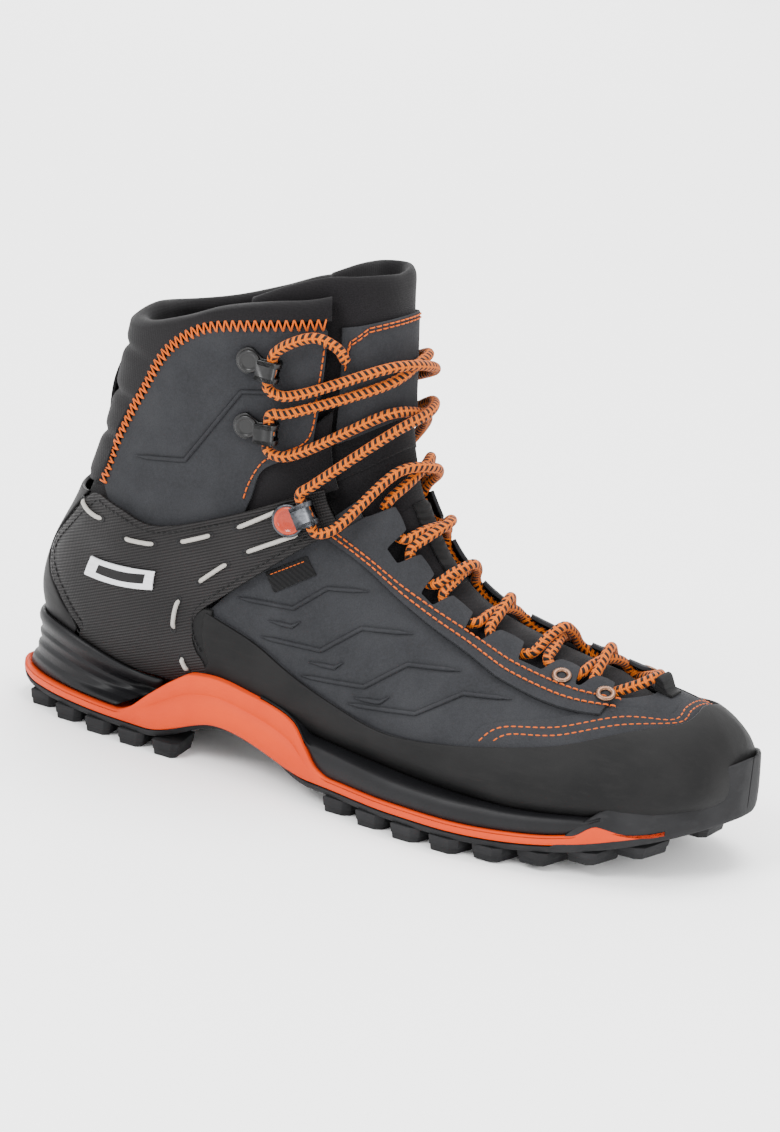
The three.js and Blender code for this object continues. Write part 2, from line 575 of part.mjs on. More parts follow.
// ---------------------------------------------------------------- upper: eyestay with lace tabs
const STITCH_LINE = [[134, 95], [156, 82.5], [187, 66], [212, 57.5], [235, 53.5], [252, 53.5], [262, 55.5]];
const TABS = [[9.9, 9.15], [8.6, 8.0], [7.5, 6.9], [6.4, 5.9], [5.35, 4.95], [4.7, 4.3]];
const TAB_RAMP = 0.08;
function eyestay() {
  const lower = edge(STITCH_LINE, 60);
  const upper = [];
  for (const [high, low] of TABS) {
    const notchPhi = THROAT_PHI + 0.01;
    upper.push([high + TAB_RAMP, notchPhi], [high - TAB_RAMP, TAB_PHI], [(high + low) / 2, TAB_PHI]);
    upper.push([low + TAB_RAMP, TAB_PHI], [low - TAB_RAMP, notchPhi]);
  }
  return upper.map(([u, share]) => {
    const near = lower.reduce((best, p) => (Math.abs(p[0] - u) < Math.abs(best[0] - u) ? p : best));
    return [0, 0.5, 1].map((f) => [lerp(Math.max(near[0], u), u, f), lerp(near[1], share * PI, f)]);
  });
}

// ---------------------------------------------------------------- cuff
const SEAM = [[40, 94], [46, 113], [56, 133], [66, 151], [76, 161], [86, 166.5], [105, 170.5], [125, 174.5]];
const CUFF_LOW = [[46, 88], [70, 84], [97, 94], [103.5, 104], [107, 116], [116, 122], [123.5, 127],
  [125, 140], [126.5, 172]];
const cuffRows = span([edge(SEAM, 24), edge(CUFF_LOW, 24)], 5);
for (const [side, rows] of Object.entries(sides(cuffRows))) {
  add(`cuff_${side}`, shell(rows, SUEDE.inner, SUEDE.outer), suede);
}

const COLLAR_TOP = [[127, 185], [119, 182.5], [106, 180], [88, 175], [72, 168], [56, 162], [44, 159.5],
  { u: 18.1, phi: 0 }];
const COLLAR_LOW = [[127.5, 176.5], [105, 172.5], [85, 168.5], [74, 162.5], [64, 152.5], [54, 134],
  [44, 113.5], [37.5, 95.5], { u: 14.65, phi: 0 }];
const COLLAR_PADDING = 4.6;
const collarRows = span([edge(COLLAR_LOW, 18), edge(COLLAR_TOP, 18)], 4);
add('collar', shell(throughToe(collarRows), -COLLAR_PADDING, SUEDE.outer), softshell);

const LINING_CUFF_EDGE = [[45, 93], [70, 90], [96, 100], [104, 116], [117, 126], [121, 140], [121, 160]];
const LINING_CUFF_TOP = [[47, 106], [56, 125], [66, 142], [76, 153], [88, 159], [104, 162.5], [120, 165]];
const cuffLiningRows = span([edge(LINING_CUFF_TOP, 14), edge(LINING_CUFF_EDGE, 14)], 4);
for (const [side, rows] of Object.entries(sides(cuffLiningRows))) {
  add(`cuff_lining_${side}`, shell(rows, LINING.inner, LINING.outer), meshLining);
}

// ---------------------------------------------------------------- tongue
const TONGUE_THICKNESS = 4;
const TONGUE_DEPTH = { lower: LACE_DIAMETER / 2 + 1.7, upper: LACE_DIAMETER / 2 + 3.2 };
const TONGUE_CROWN = { lower: 3.1, upper: 4 };
const share = (phi) => Math.abs(phi) / PI;
// The tongue lies deep under the tabs and crowns up between them, where the laces cross.
function lowerTongueTop([u, phi]) {
  const crown = smooth((share(phi) - 0.8) / 0.1) * smooth((u - 3.95) / 0.7);
  return -TONGUE_DEPTH.lower + TONGUE_CROWN.lower * crown;
}
function upperTongueTop([, phi]) {
  return -TONGUE_DEPTH.upper + TONGUE_CROWN.upper * smooth((share(phi) - 0.72) / 0.1);
}
const below = (top, depth) => (place) => top(place) - depth;
function tongueRows(levels, low, columns) {
  return acrossMiddle(levels.map((u) => {
    const row = [];
    for (let n = 0; n <= columns; n++) row.push([u, lerp(low, 1, n / columns) * PI]);
    return row;
  }));
}
const evenly = (from, to, count) => Array.from({ length: count + 1 }, (_, n) => lerp(from, to, n / count));
const lowerTongueRows = tongueRows(evenly(3.6, 9.35, 13), 0.69, 4);
const lowerTongue = solid(shell(lowerTongueRows, below(lowerTongueTop, TONGUE_THICKNESS), lowerTongueTop));
// The tongue gives way where the lining lies over its edges.
const footLining = solid(boot.getObjectByName('lining_foot').geometry);
add('tongue_lower', geometryOf(lowerTongue.subtract(footLining)), softshell);

const TONGUE_TOP = [[97, 178.5], [113, 186], [130, 191.5], { u: 18.35, phi: PI }];
const upperTongueRows = () => {
  const levels = 9;
  const top = edge(TONGUE_TOP, 6);
  const base = top.map(([, phi]) => [11.45, Math.max(phi, 0.62 * PI)]);
  const columns = span([base, top], levels);
  return acrossMiddle(evenly(0, levels, levels).map((k) => columns.map((column) => column[k])));
};
const tongueUnderside = below(upperTongueTop, TONGUE_THICKNESS);
const upperTongue = shell(upperTongueRows(), tongueUnderside, upperTongueTop);
add('tongue_upper', upperTongue, softshell);

const above = (top, rise) => (place) => top(place) + rise;
const SHIELD_LEVELS = evenly(12.5, 16.5, 6);
const SHIELD_GAP = 0.5;
const SHIELD_THICKNESS = 1.4;
const shieldUnderside = above(upperTongueTop, SHIELD_GAP);
const shieldFace = above(upperTongueTop, SHIELD_GAP + SHIELD_THICKNESS);
const shield = solid(shell(tongueRows(SHIELD_LEVELS, 0.765, 4), shieldUnderside, shieldFace));
add('tongue_shield', geometryOf(shield.subtract(solid(upperTongue))), suede);
add('tongue_keeper', shell(tongueRows(evenly(7.9, 9.3, 4), 0.94, 1), above(lowerTongueTop, STACK_GAP),
  above(lowerTongueTop, STACK_GAP + 0.8)), blackWebbing);

// ---------------------------------------------------------------- hardware
// A frame standing on the last: z out of the boot, x towards another place.
function frameAt(place, offset, forward) {
  const origin = onLast(place, offset);
  const z = onLast(place, offset + 1).sub(origin).normalize();
  const x = onLast(forward, offset).sub(origin);
  x.addScaledVector(z, -x.dot(z)).normalize();
  return new THREE.Matrix4().makeBasis(x, z.clone().cross(x), z).setPosition(origin);
}
function disc(radius, hole, low, high, facets, roundShare) {
  const edgeCut = roundShare * (high - low);
  const rim = edgeCut > 0 ? [[radius, high - edgeCut], [radius - edgeCut, high]] : [[radius, high]];
  const points = [[hole, low], [radius, low], ...rim, [hole, high], ...(hole > 0 ? [[hole, low]] : [])];
  const lathe = new THREE.LatheGeometry(points.map(([r, h]) => new THREE.Vector2(r, h)), facets);
  return lathe.rotateX(PI / 2);
}
// An open lace hook bent from one strip: base plate, round bend and a return arm over the lace.
function hookStrip(width, back, front, rise) {
  const t = HOOK_THICKNESS;
  const shape = new THREE.Shape();
  shape.moveTo(-back, 0);
  shape.lineTo(front, 0);
  shape.absarc(front, rise / 2, rise / 2, -PI / 2, PI / 2, false);
  shape.lineTo(front - 5, rise);
  shape.lineTo(front - 5, rise - t);
  shape.lineTo(front, rise - t);
  shape.absarc(front, rise / 2, rise / 2 - t, PI / 2, -PI / 2, true);
  shape.lineTo(-back, t);
  shape.closePath();
  const strip = new THREE.ExtrudeGeometry(shape, { depth: width, bevelEnabled: false, curveSegments: 6 });
  return strip.translate(0, 0, -width / 2).rotateX(PI / 2);
}
const bothSides = { lateral: (p) => p, medial: mirror };
const HOOK_RISE = LACE_DIAMETER + 2 * HOOK_THICKNESS + 0.2;
const RIVET_SHANK = 1.9;
const RIVET_REACH = 0.5;
const RUNNING_GAP = 0.1;
const HOOK_BASE = SUEDE.outer + 0.8;
const LOCK_BASE = OVERLAY.outer + SLING_RISE + 0.9;
const HOOK = { base: HOOK_BASE, width: HOOK_WIDTH, back: 4.6, front: 9.5 };
const LOCK = { base: LOCK_BASE, width: HOOK_WIDTH + 1, back: 4.8, front: 8.5 };
// The sling's cord turns round the lock hook, so both keep their distances from the hook's rivet.
const LOCK_AT = [120, 100.5];
const roundLock = (dx, dz) => [LOCK_AT[0] + dx / kx, LOCK_AT[1] + dz / kz];
const FITTINGS = {
  hook_1: { at: [101, 158], toward: [112, 156.5], ...HOOK },
  hook_2: { at: [101, 133], toward: [112, 133], ...HOOK },
  lock: { at: LOCK_AT, toward: roundLock(10, 6), ...LOCK },
};
const RIVETS = {
  hook: { radius: RIVET_RADIUS, rise: 1.8, material: blackMetal, facets: 12 },
  lock: { radius: LOCK_RIVET_RADIUS, rise: 2.6, material: orangeRivet, facets: 16 },
};
const fittingFrame = (name, flip) => {
  const { at: spot, toward, base } = FITTINGS[name];
  return frameAt(flip(locate(spot)), base, flip(locate(toward)));
};
function addFitting(name, flip, hookName, rivetName, { radius, rise, material, facets }) {
  const { width, back, front } = FITTINGS[name];
  const frame = fittingFrame(name, flip);
  const hole = solid(disc(RIVET_SHANK + RUNNING_GAP, 0, -HOOK_THICKNESS, 2 * HOOK_THICKNESS, facets, 0));
  const hook = geometryOf(solid(hookStrip(width, back, front, HOOK_RISE)).subtract(hole));
  add(hookName, hook.applyMatrix4(frame), blackMetal);
  const shank = solid(disc(RIVET_SHANK, 0, -RIVET_REACH, HOOK_THICKNESS + 2 * STACK_GAP, facets, 0));
  const head = solid(disc(radius, 0, HOOK_THICKNESS + STACK_GAP, HOOK_THICKNESS + rise, facets, 0.25));
  add(rivetName, geometryOf(head.add(shank)).applyMatrix4(frame), material);
}
const EYELET_LEVELS = [5.12, 4.32];
const EYELET_PHI = 0.79 * PI;
const EYELET_HEIGHT = 1.1;
const CABLE = [[32, 84.5], [45, 82], [57, 78.5], [69, 79], [80, 83], [91, 88],
  roundLock(-19, -7.5), roundLock(-8, -0.5)];
const RETURN = [roundLock(-2, -8), roundLock(-14, -16), [98, 77], [89, 69], [82.5, 61], [80.5, 52], [83, 43]];
const PLATE_THICKNESS = 1;
const PLATE_EDGES = [[[40, 60], [56, 60], [70, 62]], [[42, 69], [57, 69.5], [71, 71]]];
const plateRows = span(PLATE_EDGES.map((points) => edge(points, 4)), 2);
for (const [side, flip] of Object.entries(bothSides)) {
  for (const n of [1, 2]) {
    addFitting(`hook_${n}`, flip, `hook_${side}_${n}`, `hook_rivet_${side}_${n}`, RIVETS.hook);
  }
  addFitting('lock', flip, `lock_hook_${side}`, `lock_rivet_${side}`, RIVETS.lock);
  EYELET_LEVELS.forEach((u, n) => {
    const ring = disc(EYELET_RADIUS, EYELET_HOLE, 0, EYELET_HEIGHT, 12, 0.25);
    const frame = frameAt(flip([u, EYELET_PHI]), OVERLAY.outer, flip([u - 0.5, EYELET_PHI]));
    add(`eyelet_${side}_${n + 1}`, ring.applyMatrix4(frame), blackMetal);
  });
  const lift = slingLift(OVERLAY.outer + STACK_GAP + CABLE_DIAMETER / 2);
  const cablePoints = [...edge(CABLE, 16), ...edge(RETURN, 14)].map((p) => onLast(flip(p), lift(p)));
  add(`cable_${side}`, tube(cablePoints, CABLE_DIAMETER, 6, 40), paleCable);
  const badge = [OVERLAY.outer + STACK_GAP, OVERLAY.outer + STACK_GAP + PLATE_THICKNESS].map(slingLift);
  add(`badge_${side}`, shell(plateRows.map((row) => row.map(flip)), ...badge), silverBadge);
}
const tagRows = span([edge([[114, 77.5], [129, 87]], 3), edge([[118, 72], [133, 82]], 3)], 1);
const TAG_THICKNESS = 0.6;
add('tag', shell(tagRows, SUEDE.outer + STACK_GAP, SUEDE.outer + STACK_GAP + TAG_THICKNESS), blackWebbing);

// ---------------------------------------------------------------- steel shank, flex gussets, pull tab
const SHANK = { from: 62, to: 176, thickness: 1.2 };
const shankZ = (x) => floorZ(x) + BOARD_RISE - STACK_GAP - SHANK.thickness;
add('shank', loft(evenly(SHANK.from, SHANK.to, 8).map((x) => {
  const half = SHANK_WIDTH / 2 / ky;
  const [low, high] = [shankZ(x), shankZ(x) + SHANK.thickness];
  return [at(x, -half, low), at(x, half, low), at(x, half, high), at(x, -half, high)];
})), blackMetal);

const GUSSET_LOW = [[106, 103.5], [114, 108.5], { u: 10.95, phi: 0.72 * PI }, { u: 10.56, phi: 0.77 * PI }];
const GUSSET_HIGH = [[109.5, 114.5], [117.5, 119], { u: 12.2, phi: 0.74 * PI },
  { u: 12.25, phi: 0.775 * PI }];
const gussetRows = span([edge(GUSSET_LOW, 6), edge(GUSSET_HIGH, 6)], 2);
for (const [side, rows] of Object.entries(sides(gussetRows))) {
  add(`flex_gusset_${side}`, shell(rows, SUEDE.inner + 0.1, SUEDE.outer - 0.5), softshell);
}
add('tongue_flex', shell(tongueRows(evenly(9.45, 11.35, 3), 0.8, 3), () => -4.4, () => -3), softshell);

const pullTabHalf = evenly(15.6, 16.9, 4).map((u) => [[u, 0.07 * PI], [u, 0.035 * PI], [u, 0]]);
const pullTabRows = acrossMiddle(pullTabHalf);
add('pull_tab', shell(pullTabRows, SUEDE.outer + STACK_GAP, SUEDE.outer + 2.2), blackWebbing);

// ---------------------------------------------------------------- lace
// Each half climbs from the lowest eyelet, crossing the tongue at every notch. Places are
// [u, share of phi, offset]; the share counts from the near side, so 2 - share is the far side.
const UNDER_LEVEL = 3.05;
const CROSSING = { under: UNDER_LEVEL, over: UNDER_LEVEL + LACE_DIAMETER + 0.35 };
const TAB_SHARE = 0.828;
const TUNNEL_ENTRY = 0.13;
const tunnel = (high, low) => [
  [low + TUNNEL_ENTRY, TAB_SHARE, -0.35],
  [(high + low) / 2, TAB_SHARE + 0.002, -0.45],
  [high - TUNNEL_ENTRY, TAB_SHARE, -0.35],
];
const flipShare = ([u, f, h]) => [u, 2 - f, h];
const NOTCHES = TABS.slice(1).map(([high], k) => (TABS[k][1] + high) / 2);
function halfLace(level) {
  const points = [];
  let near = true;
  const go = (list) => points.push(...list.map((p) => (near ? p : flipShare(p))));
  const cross = (u) => {
    const halfway = level / 2 + 1.1;
    go([[u - TUNNEL_ENTRY, 0.85, 1.6], [u - TUNNEL_ENTRY * 0.55, 0.92, halfway]]);
    points.push([u, 1, level]);
    near = !near;
    go([[u + TUNNEL_ENTRY * 0.55, 0.92, halfway], [u + TUNNEL_ENTRY, 0.85, 1.6]]);
  };
  go([[4.05, 0.9, 2.8]]);
  for (let k = TABS.length - 1; k >= 1; k--) {
    go(tunnel(...TABS[k]));
    cross(NOTCHES[k - 1]);
  }
  go(tunnel(...TABS[0]));
  return points;
}
function asPath(points, flip) {
  return points.map(([u, f, h]) => onLast(flip([u, (f > 1 ? f - 2 : f) * PI]), h));
}
const lowerOver = halfLace(CROSSING.over);
const lowerUnder = halfLace(CROSSING.under);
const bar = [[3.9, 0.95, 4.8], [3.85, 1, 5.2]];
const lacePath = [...asPath([...lowerOver].reverse(), bothSides.lateral), ...asPath(bar, bothSides.lateral),
  ...asPath([bar[0]], bothSides.medial), ...asPath(lowerUnder, bothSides.medial)];
// Above the top tabs each end crosses to the lock hook, the middle hook and the top hook, then tucks in.
function upperLace(level, start) {
  const far = (flip) => (flip === bothSides.lateral ? bothSides.medial : bothSides.lateral);
  const spot = ([u, f, h], flip) => onLast(flip([u, f * PI]), h);
  const through = (name, flip) => {
    const frame = fittingFrame(name, flip);
    const { width, front } = FITTINGS[name];
    const turn = flip === bothSides.lateral ? 1 : -1;
    const [mid, out] = [width / 2 + 2.8, width / 2 + 4.4];
    const inside = HOOK_RISE / 2;
    const places = [[front + 6, -out, 3.2], [front, -mid, inside], [front, 0, inside], [front, mid, inside],
      [front + 6, out, 3.2]];
    return places.map(([x, y, z]) => new THREE.Vector3(x, y * turn, z).applyMatrix4(frame));
  };
  const [side, other] = [start, far(start)];
  const slope = level * 0.5 + 2.5;
  return [
    spot([9.93, 0.835, 0.3], side), spot([10.1, 0.865, 2.2], side), spot([10.3, 0.93, level * 0.6 + 1], side),
    spot([10.6, 1, level], side), spot([10.9, 0.9, level * 0.6 + 2], other),
    ...through('lock', other),
    spot([12.3, 0.9, slope], other), spot([12.6, 1, level], side), spot([12.95, 0.9, slope], side),
    ...through('hook_2', side),
    spot([14.35, 0.9, slope], side), spot([14.75, 1, level], side), spot([15.1, 0.9, slope], other),
    ...through('hook_1', other).slice(0, 4),
    spot([17.05, 0.7, 6.2], other), spot([16.4, 0.755, 4.6], other), spot([15.8, 0.775, 3], other),
  ];
}
const LACE_FACETS = 6;
const LACES = {
  lace: [lacePath, 84],
  lace_end_lateral: [upperLace(CROSSING.over, bothSides.medial), 56],
  lace_end_medial: [upperLace(CROSSING.under, bothSides.lateral), 56],
};
const laceRooms = Object.entries(LACES).map(([name, [path, steps]]) => {
  add(name, tube(path, LACE_DIAMETER, LACE_FACETS, steps), orangeLace);
  return solid(tube(path, LACE_DIAMETER + 2 * STACK_GAP, LACE_FACETS, steps));
});
// The eyestay is open where the lace runs under its tabs, and lies on the vamp.
const eyestayRooms = [...laceRooms, solid(boot.getObjectByName('vamp').geometry)];
for (const [side, rows] of Object.entries(sides(eyestay()))) {
  const panel = solid(shell(rows, OVERLAY.inner + 0.2, OVERLAY.outer - 0.2));
  add(`eyestay_${side}`, geometryOf(eyestayRooms.reduce((rest, room) => rest.subtract(room), panel)), suede);
}

// The boot is centred over its footprint, so the origin is the middle of the ground it stands on.
const footprint = new THREE.Box3().setFromObject(boot);
const middle = footprint.getCenter(new THREE.Vector3());
boot.position.set(-middle.x, -middle.y, -footprint.min.z);
boot.updateMatrixWorld(true);
export default boot;
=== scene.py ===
# A right mid-cut mountain boot on a pale studio floor: heel to toe along +X, inner side of the foot +Y.
from collections import namedtuple

import bmesh
import bpy
import numpy as np
from mathutils import Matrix, Vector


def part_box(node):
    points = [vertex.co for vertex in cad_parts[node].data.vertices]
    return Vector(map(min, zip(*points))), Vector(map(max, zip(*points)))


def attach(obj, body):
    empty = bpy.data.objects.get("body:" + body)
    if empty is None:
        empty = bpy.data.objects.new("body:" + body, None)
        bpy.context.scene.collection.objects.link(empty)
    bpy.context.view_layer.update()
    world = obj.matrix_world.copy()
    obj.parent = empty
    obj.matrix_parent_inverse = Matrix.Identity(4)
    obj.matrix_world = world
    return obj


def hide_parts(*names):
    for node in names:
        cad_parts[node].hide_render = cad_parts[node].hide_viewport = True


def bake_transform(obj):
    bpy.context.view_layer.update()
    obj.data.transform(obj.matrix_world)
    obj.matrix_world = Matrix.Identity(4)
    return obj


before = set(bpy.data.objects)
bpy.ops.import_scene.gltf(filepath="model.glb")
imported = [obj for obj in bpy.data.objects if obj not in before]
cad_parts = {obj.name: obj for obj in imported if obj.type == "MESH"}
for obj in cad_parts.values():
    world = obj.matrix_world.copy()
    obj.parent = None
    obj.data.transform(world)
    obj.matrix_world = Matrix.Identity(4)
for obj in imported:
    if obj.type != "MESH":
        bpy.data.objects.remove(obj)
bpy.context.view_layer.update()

PI = np.pi

# ---------------------------------------- sizes in millimetres, as the boot is built
LINING = (-2.3, -0.4)
SUEDE = (0.0, 1.5)
OVERLAY = (2.0, 3.7)
SLING_RISE = 1.6
LACE_DIAMETER = 4.3
CORD_RADIUS = 0.85
BRAID_LEAN = 2.4
BRAID_STRAND = 1.7
HOOK_RISE = 7.2
HOOK_THICKNESS = 1.4
LUG_DEPTH = 4.5
OUTSOLE_BASE = 4
STACK_GAP = 0.3
THREAD_GAP = 0.28
SHARP_ANGLE = 0.6
SOLE_LENGTH = 297

# The CAD frame has its origin under the middle of the sole; the boot is drawn from its heel.
shank_low, shank_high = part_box("shank")
SHIFT = np.array([500 * (shank_low[0] + shank_high[0]) - 119, 500 * (shank_low[1] + shank_high[1]), 0.0])


def metres(points):
    return (np.asarray(points, float) + SHIFT) / 1000


def lerp(a, b, f):
    return a + (b - a) * f


def smooth(v):
    v = np.clip(v, 0, 1)
    return v * v * (3 - 2 * v)


# ---------------------------------------- the last surface
# back x, back z, front x, front z, outer and inner half-width, centre y back and front, fullness, roundness
LAST = np.array([
    [291, 31, 291, 40, 0, 0, 10, 10, .60, .50], [289, 29, 288, 48, 17, 16, 10, 10, .60, .50],
    [283, 26.5, 282, 53, 27, 25, 10, 10, .58, .50], [271, 22.5, 272, 57, 36, 33, 9, 10, .56, .50],
    [250, 19.5, 253, 61, 43, 39, 6, 9, .54, .52], [226, 18, 232, 65, 46, 42, 2, 8, .54, .54],
    [198, 18, 208, 70, 45, 42, 0, 6, .56, .55], [168, 19, 187, 77, 41, 39, -1, 4, .58, .54],
    [136, 21, 172, 88, 37, 36, -1, 3, .60, .50], [98, 23, 162, 102, 34, 34, 0, 2, .62, .45],
    [58, 24, 156, 115, 33, 33, 0, 1, .64, .42], [24, 26, 153, 126, 33, 33, 0, 1, .70, .40],
    [11, 41, 151, 136, 33, 33, 0, 0, .76, .40], [12, 60, 149, 146, 33, 33, 0, 0, .80, .40],
    [21, 82, 148, 154, 33, 33, 0, 0, .85, .40], [28, 103, 147, 162, 34, 34, 0, 0, .85, .40],
    [33, 124, 146, 170, 35, 35, 0, 0, .85, .40], [36, 142, 145, 178, 36, 36, 0, 0, .85, .40],
    [39, 159, 144, 187, 37, 37, 0, 0, .85, .40], [41, 176, 143, 203, 38, 38, 0, 0, .85, .40]])
TOP = len(LAST) - 1
BEFORE_TOE = LAST[1] * np.array([1, 1, 1, 1, -1, -1, 1, 1, 1, 1])
SECTIONS = np.vstack([BEFORE_TOE, LAST, LAST[-1]])
On = namedtuple("On", "u phi")


def section(u):
    u = np.clip(np.abs(u), 0, TOP)
    i = np.minimum(np.floor(u), TOP - 1).astype(int)
    f = (u - i)[..., None]
    a, b, c, d = (SECTIONS[np.minimum(i + k, TOP + 2)] for k in range(4))
    return 0.5 * (2 * b + (c - a) * f + (2 * a - 5 * b + 4 * c - d) * f**2 + (3 * b - a - 3 * c + d) * f**3)


def last_point(u, phi):
    """phi is 0 on the back line and pi on the front line; a negative phi is the inner side."""
    side = np.where(u < 0, -1, 1)
    row = np.moveaxis(section(u), -1, 0)
    t = (1 - np.cos(phi)) / 2
    width = np.where(np.sin(phi) * side >= 0, -row[4], row[5])
    bulge = np.maximum(0, np.sin(PI * t ** row[8])) ** row[9] * width
    return np.stack([lerp(row[0], row[2], t), lerp(row[6], row[7], t) + bulge, lerp(row[1], row[3], t)], -1)


def on_last(places, offset=0.0):
    """Points in boot millimetres at an offset from the last."""
    places = np.asarray(places, float)
    u, phi = places[..., 0], places[..., 1]
    e = 0.02
    here = last_point(u, phi)
    along = last_point(np.minimum(u + e, TOP), phi) - last_point(u - e, phi)
    normal = np.cross(along, last_point(u, phi + e) - last_point(u, phi - e))
    normal /= np.maximum(np.linalg.norm(normal, axis=-1, keepdims=True), 1e-9)
    row = section(u)
    middle = np.stack([row[..., 0] + row[..., 2], row[..., 6] + row[..., 7], row[..., 1] + row[..., 3]],
                      -1) / 2
    core = np.where((np.abs(u) < 3.2)[..., None], np.array([262, 9, 38.0]), middle)
    facing = np.sum(normal * (here - core), axis=-1, keepdims=True)
    return here + np.where(facing < 0, -normal, normal) * np.asarray(offset, float)[..., None]


def locate(x, z):
    """The place on the last seen from the side at (x, z)."""
    def miss(u):
        bx, bz, fx, fz = np.moveaxis(section(u), -1, 0)[:4]
        return (fx - bx) * (z - bz) - (fz - bz) * (x - bx)

    def share(u):
        bx, bz, fx, fz = np.moveaxis(section(u), -1, 0)[:4]
        return ((x - bx) * (fx - bx) + (z - bz) * (fz - bz)) / ((fx - bx) ** 2 + (fz - bz) ** 2 + 1e-12)
    steps = np.arange(0, TOP + 1e-9, 0.25)
    misses, shares = miss(steps), share(steps)
    for k in np.nonzero(misses[:-1] * misses[1:] <= 0)[0]:
        if abs(shares[k] - 0.5) > 0.62:
            continue
        lo, hi = steps[k], steps[k + 1]
        for _ in range(18):
            mid = (lo + hi) / 2
            if miss(np.array(lo)) * miss(np.array(mid)) > 0:
                lo = mid
            else:
                hi = mid
        return [lo, float(np.arccos(1 - 2 * np.clip(share(np.array(lo)), 0, 1)))]
    raise ValueError(f"no place on the last at {x}, {z}")


def run_along(points):
    return np.concatenate([[0], np.cumsum(np.linalg.norm(np.diff(points, axis=0), axis=1))])


def respace(places, count):
    spots = last_point(places[:, 0], places[:, 1])
    run = run_along(spots)
    at = np.linspace(0, run[-1], count + 1)
    return np.stack([np.interp(at, run, places[:, k]) for k in (0, 1)], -1)


def edge(points, count):
    """A smooth line on the last, evenly spaced. Points are side-view (x, z) or On(u, phi)."""
    places = np.array([[p.u, p.phi] if isinstance(p, On) else locate(*p) for p in points])
    parts = 16
    steps = np.arange((len(places) - 1) * parts)
    i, f = steps // parts, (steps % parts / parts)[:, None]
    a, b, c, d = (places[np.clip(i + k, 0, len(places) - 1)] for k in (-1, 0, 1, 2))
    ta, tb = (c - a) / 2, (d - b) / 2
    dense = (2 * b - 2 * c + ta + tb) * f**3 + (3 * c - 3 * b - 2 * ta - tb) * f**2 + ta * f + b
    return respace(np.vstack([dense, places[-1]]), count)


def span(edges, between):
    rows = [edges[0][:, None]]
    for a, b in zip(edges, edges[1:]):
        f = (np.arange(1, between + 1) / between)[None, :, None]
        rows.append(a[:, None] + (b - a)[:, None] * f)
    return np.concatenate(rows, axis=1)


def mirror(places):
    return np.asarray(places) * np.array([1, -1])


def through_toe(rows):
    """Rows that end on the front or back line, carried on over the other side."""
    return np.concatenate([rows, mirror(rows[:-1][::-1])], axis=0)


def across_middle(rows):
    """Columns that end on the middle line, carried on over the other side."""
    return np.concatenate([rows, mirror(rows[:, :-1][:, ::-1])], axis=1)


SIDES = {"lateral": lambda places: np.asarray(places, float), "medial": mirror}


# ---------------------------------------- meshes
def piece(name, points, faces, finish, slot, body="foot", replaces=(), flat=False):
    """A mesh piece in boot millimetres, riding on a CAD body."""
    mesh = bpy.data.meshes.new(name)
    mesh.from_pydata(metres(points).tolist(), [], [list(map(int, f)) for f in faces])
    tidy = bmesh.new()
    tidy.from_mesh(mesh)
    bmesh.ops.remove_doubles(tidy, verts=tidy.verts, dist=1e-6)
    bmesh.ops.dissolve_degenerate(tidy, edges=tidy.edges, dist=1e-7)
    bmesh.ops.recalc_face_normals(tidy, faces=tidy.faces)
    tidy.to_mesh(mesh)
    tidy.free()
    mesh.materials.append(finish)
    if not flat:
        mesh.shade_smooth()
    obj = bpy.data.objects.new(name, mesh)
    bpy.context.scene.collection.objects.link(obj)
    if body:
        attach(obj, body)
    if replaces:
        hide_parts(*replaces)
    return obj


def soften(obj, width, segments=3):
    """Rounds the piece's sharp edges; width in millimetres."""
    bevel = obj.modifiers.new("soft edges", "BEVEL")
    bevel.width = width / 1000
    bevel.segments = segments
    bevel.limit_method = "ANGLE"
    bevel.angle_limit = SHARP_ANGLE
    return obj


def grid_faces(n, m):
    i, j = np.meshgrid(np.arange(n - 1), np.arange(m - 1), indexing="ij")
    a = (i * m + j).ravel()
    return np.stack([a, a + m, a + m + 1, a + 1], -1)


def ring_faces(count, size, closed=False):
    """Quads between rings of equal size; closed joins the last ring to the first."""
    i, j = np.meshgrid(np.arange(count if closed else count - 1), np.arange(size), indexing="ij")
    here, after = i * size, (i + 1) % count * size
    corners = (here + j, here + (j + 1) % size, after + (j + 1) % size, after + j)
    return [list(f) for f in np.stack([c.ravel() for c in corners], -1)]


def capped(count, size):
    """Quads between rings, and a cap on the first and on the last."""
    last = size * (count - 1)
    return ring_faces(count, size) + [list(range(size))[::-1], list(range(last, last + size))]


def level(value, places):
    return value(places) if callable(value) else np.full(places.shape[:-1], float(value))


def shell_mesh(rows, inner, outer):
    """Points and faces of a closed shell over a grid of places."""
    n, m = rows.shape[:2]
    skins = [on_last(rows, level(side, rows)).reshape(-1, 3) for side in (outer, inner)]
    top = grid_faces(n, m)
    rim = np.concatenate([np.arange(m), np.arange(1, n) * m + m - 1, (n - 1) * m + np.arange(m - 2, -1, -1),
                          np.arange(n - 2, 0, -1) * m])
    after = np.roll(rim, -1)
    wall = np.stack([rim, after, after + n * m, rim + n * m], -1)
    return np.vstack(skins), np.vstack([top, top[:, ::-1] + n * m, wall])


def panel(name, rows, inner, outer, finish, slot, body="foot", replaces=(), round_edge=0.45):
    obj = piece(name, *shell_mesh(rows, inner, outer), finish, slot, body, replaces)
    if round_edge:
        soften(obj, round_edge)
    return obj


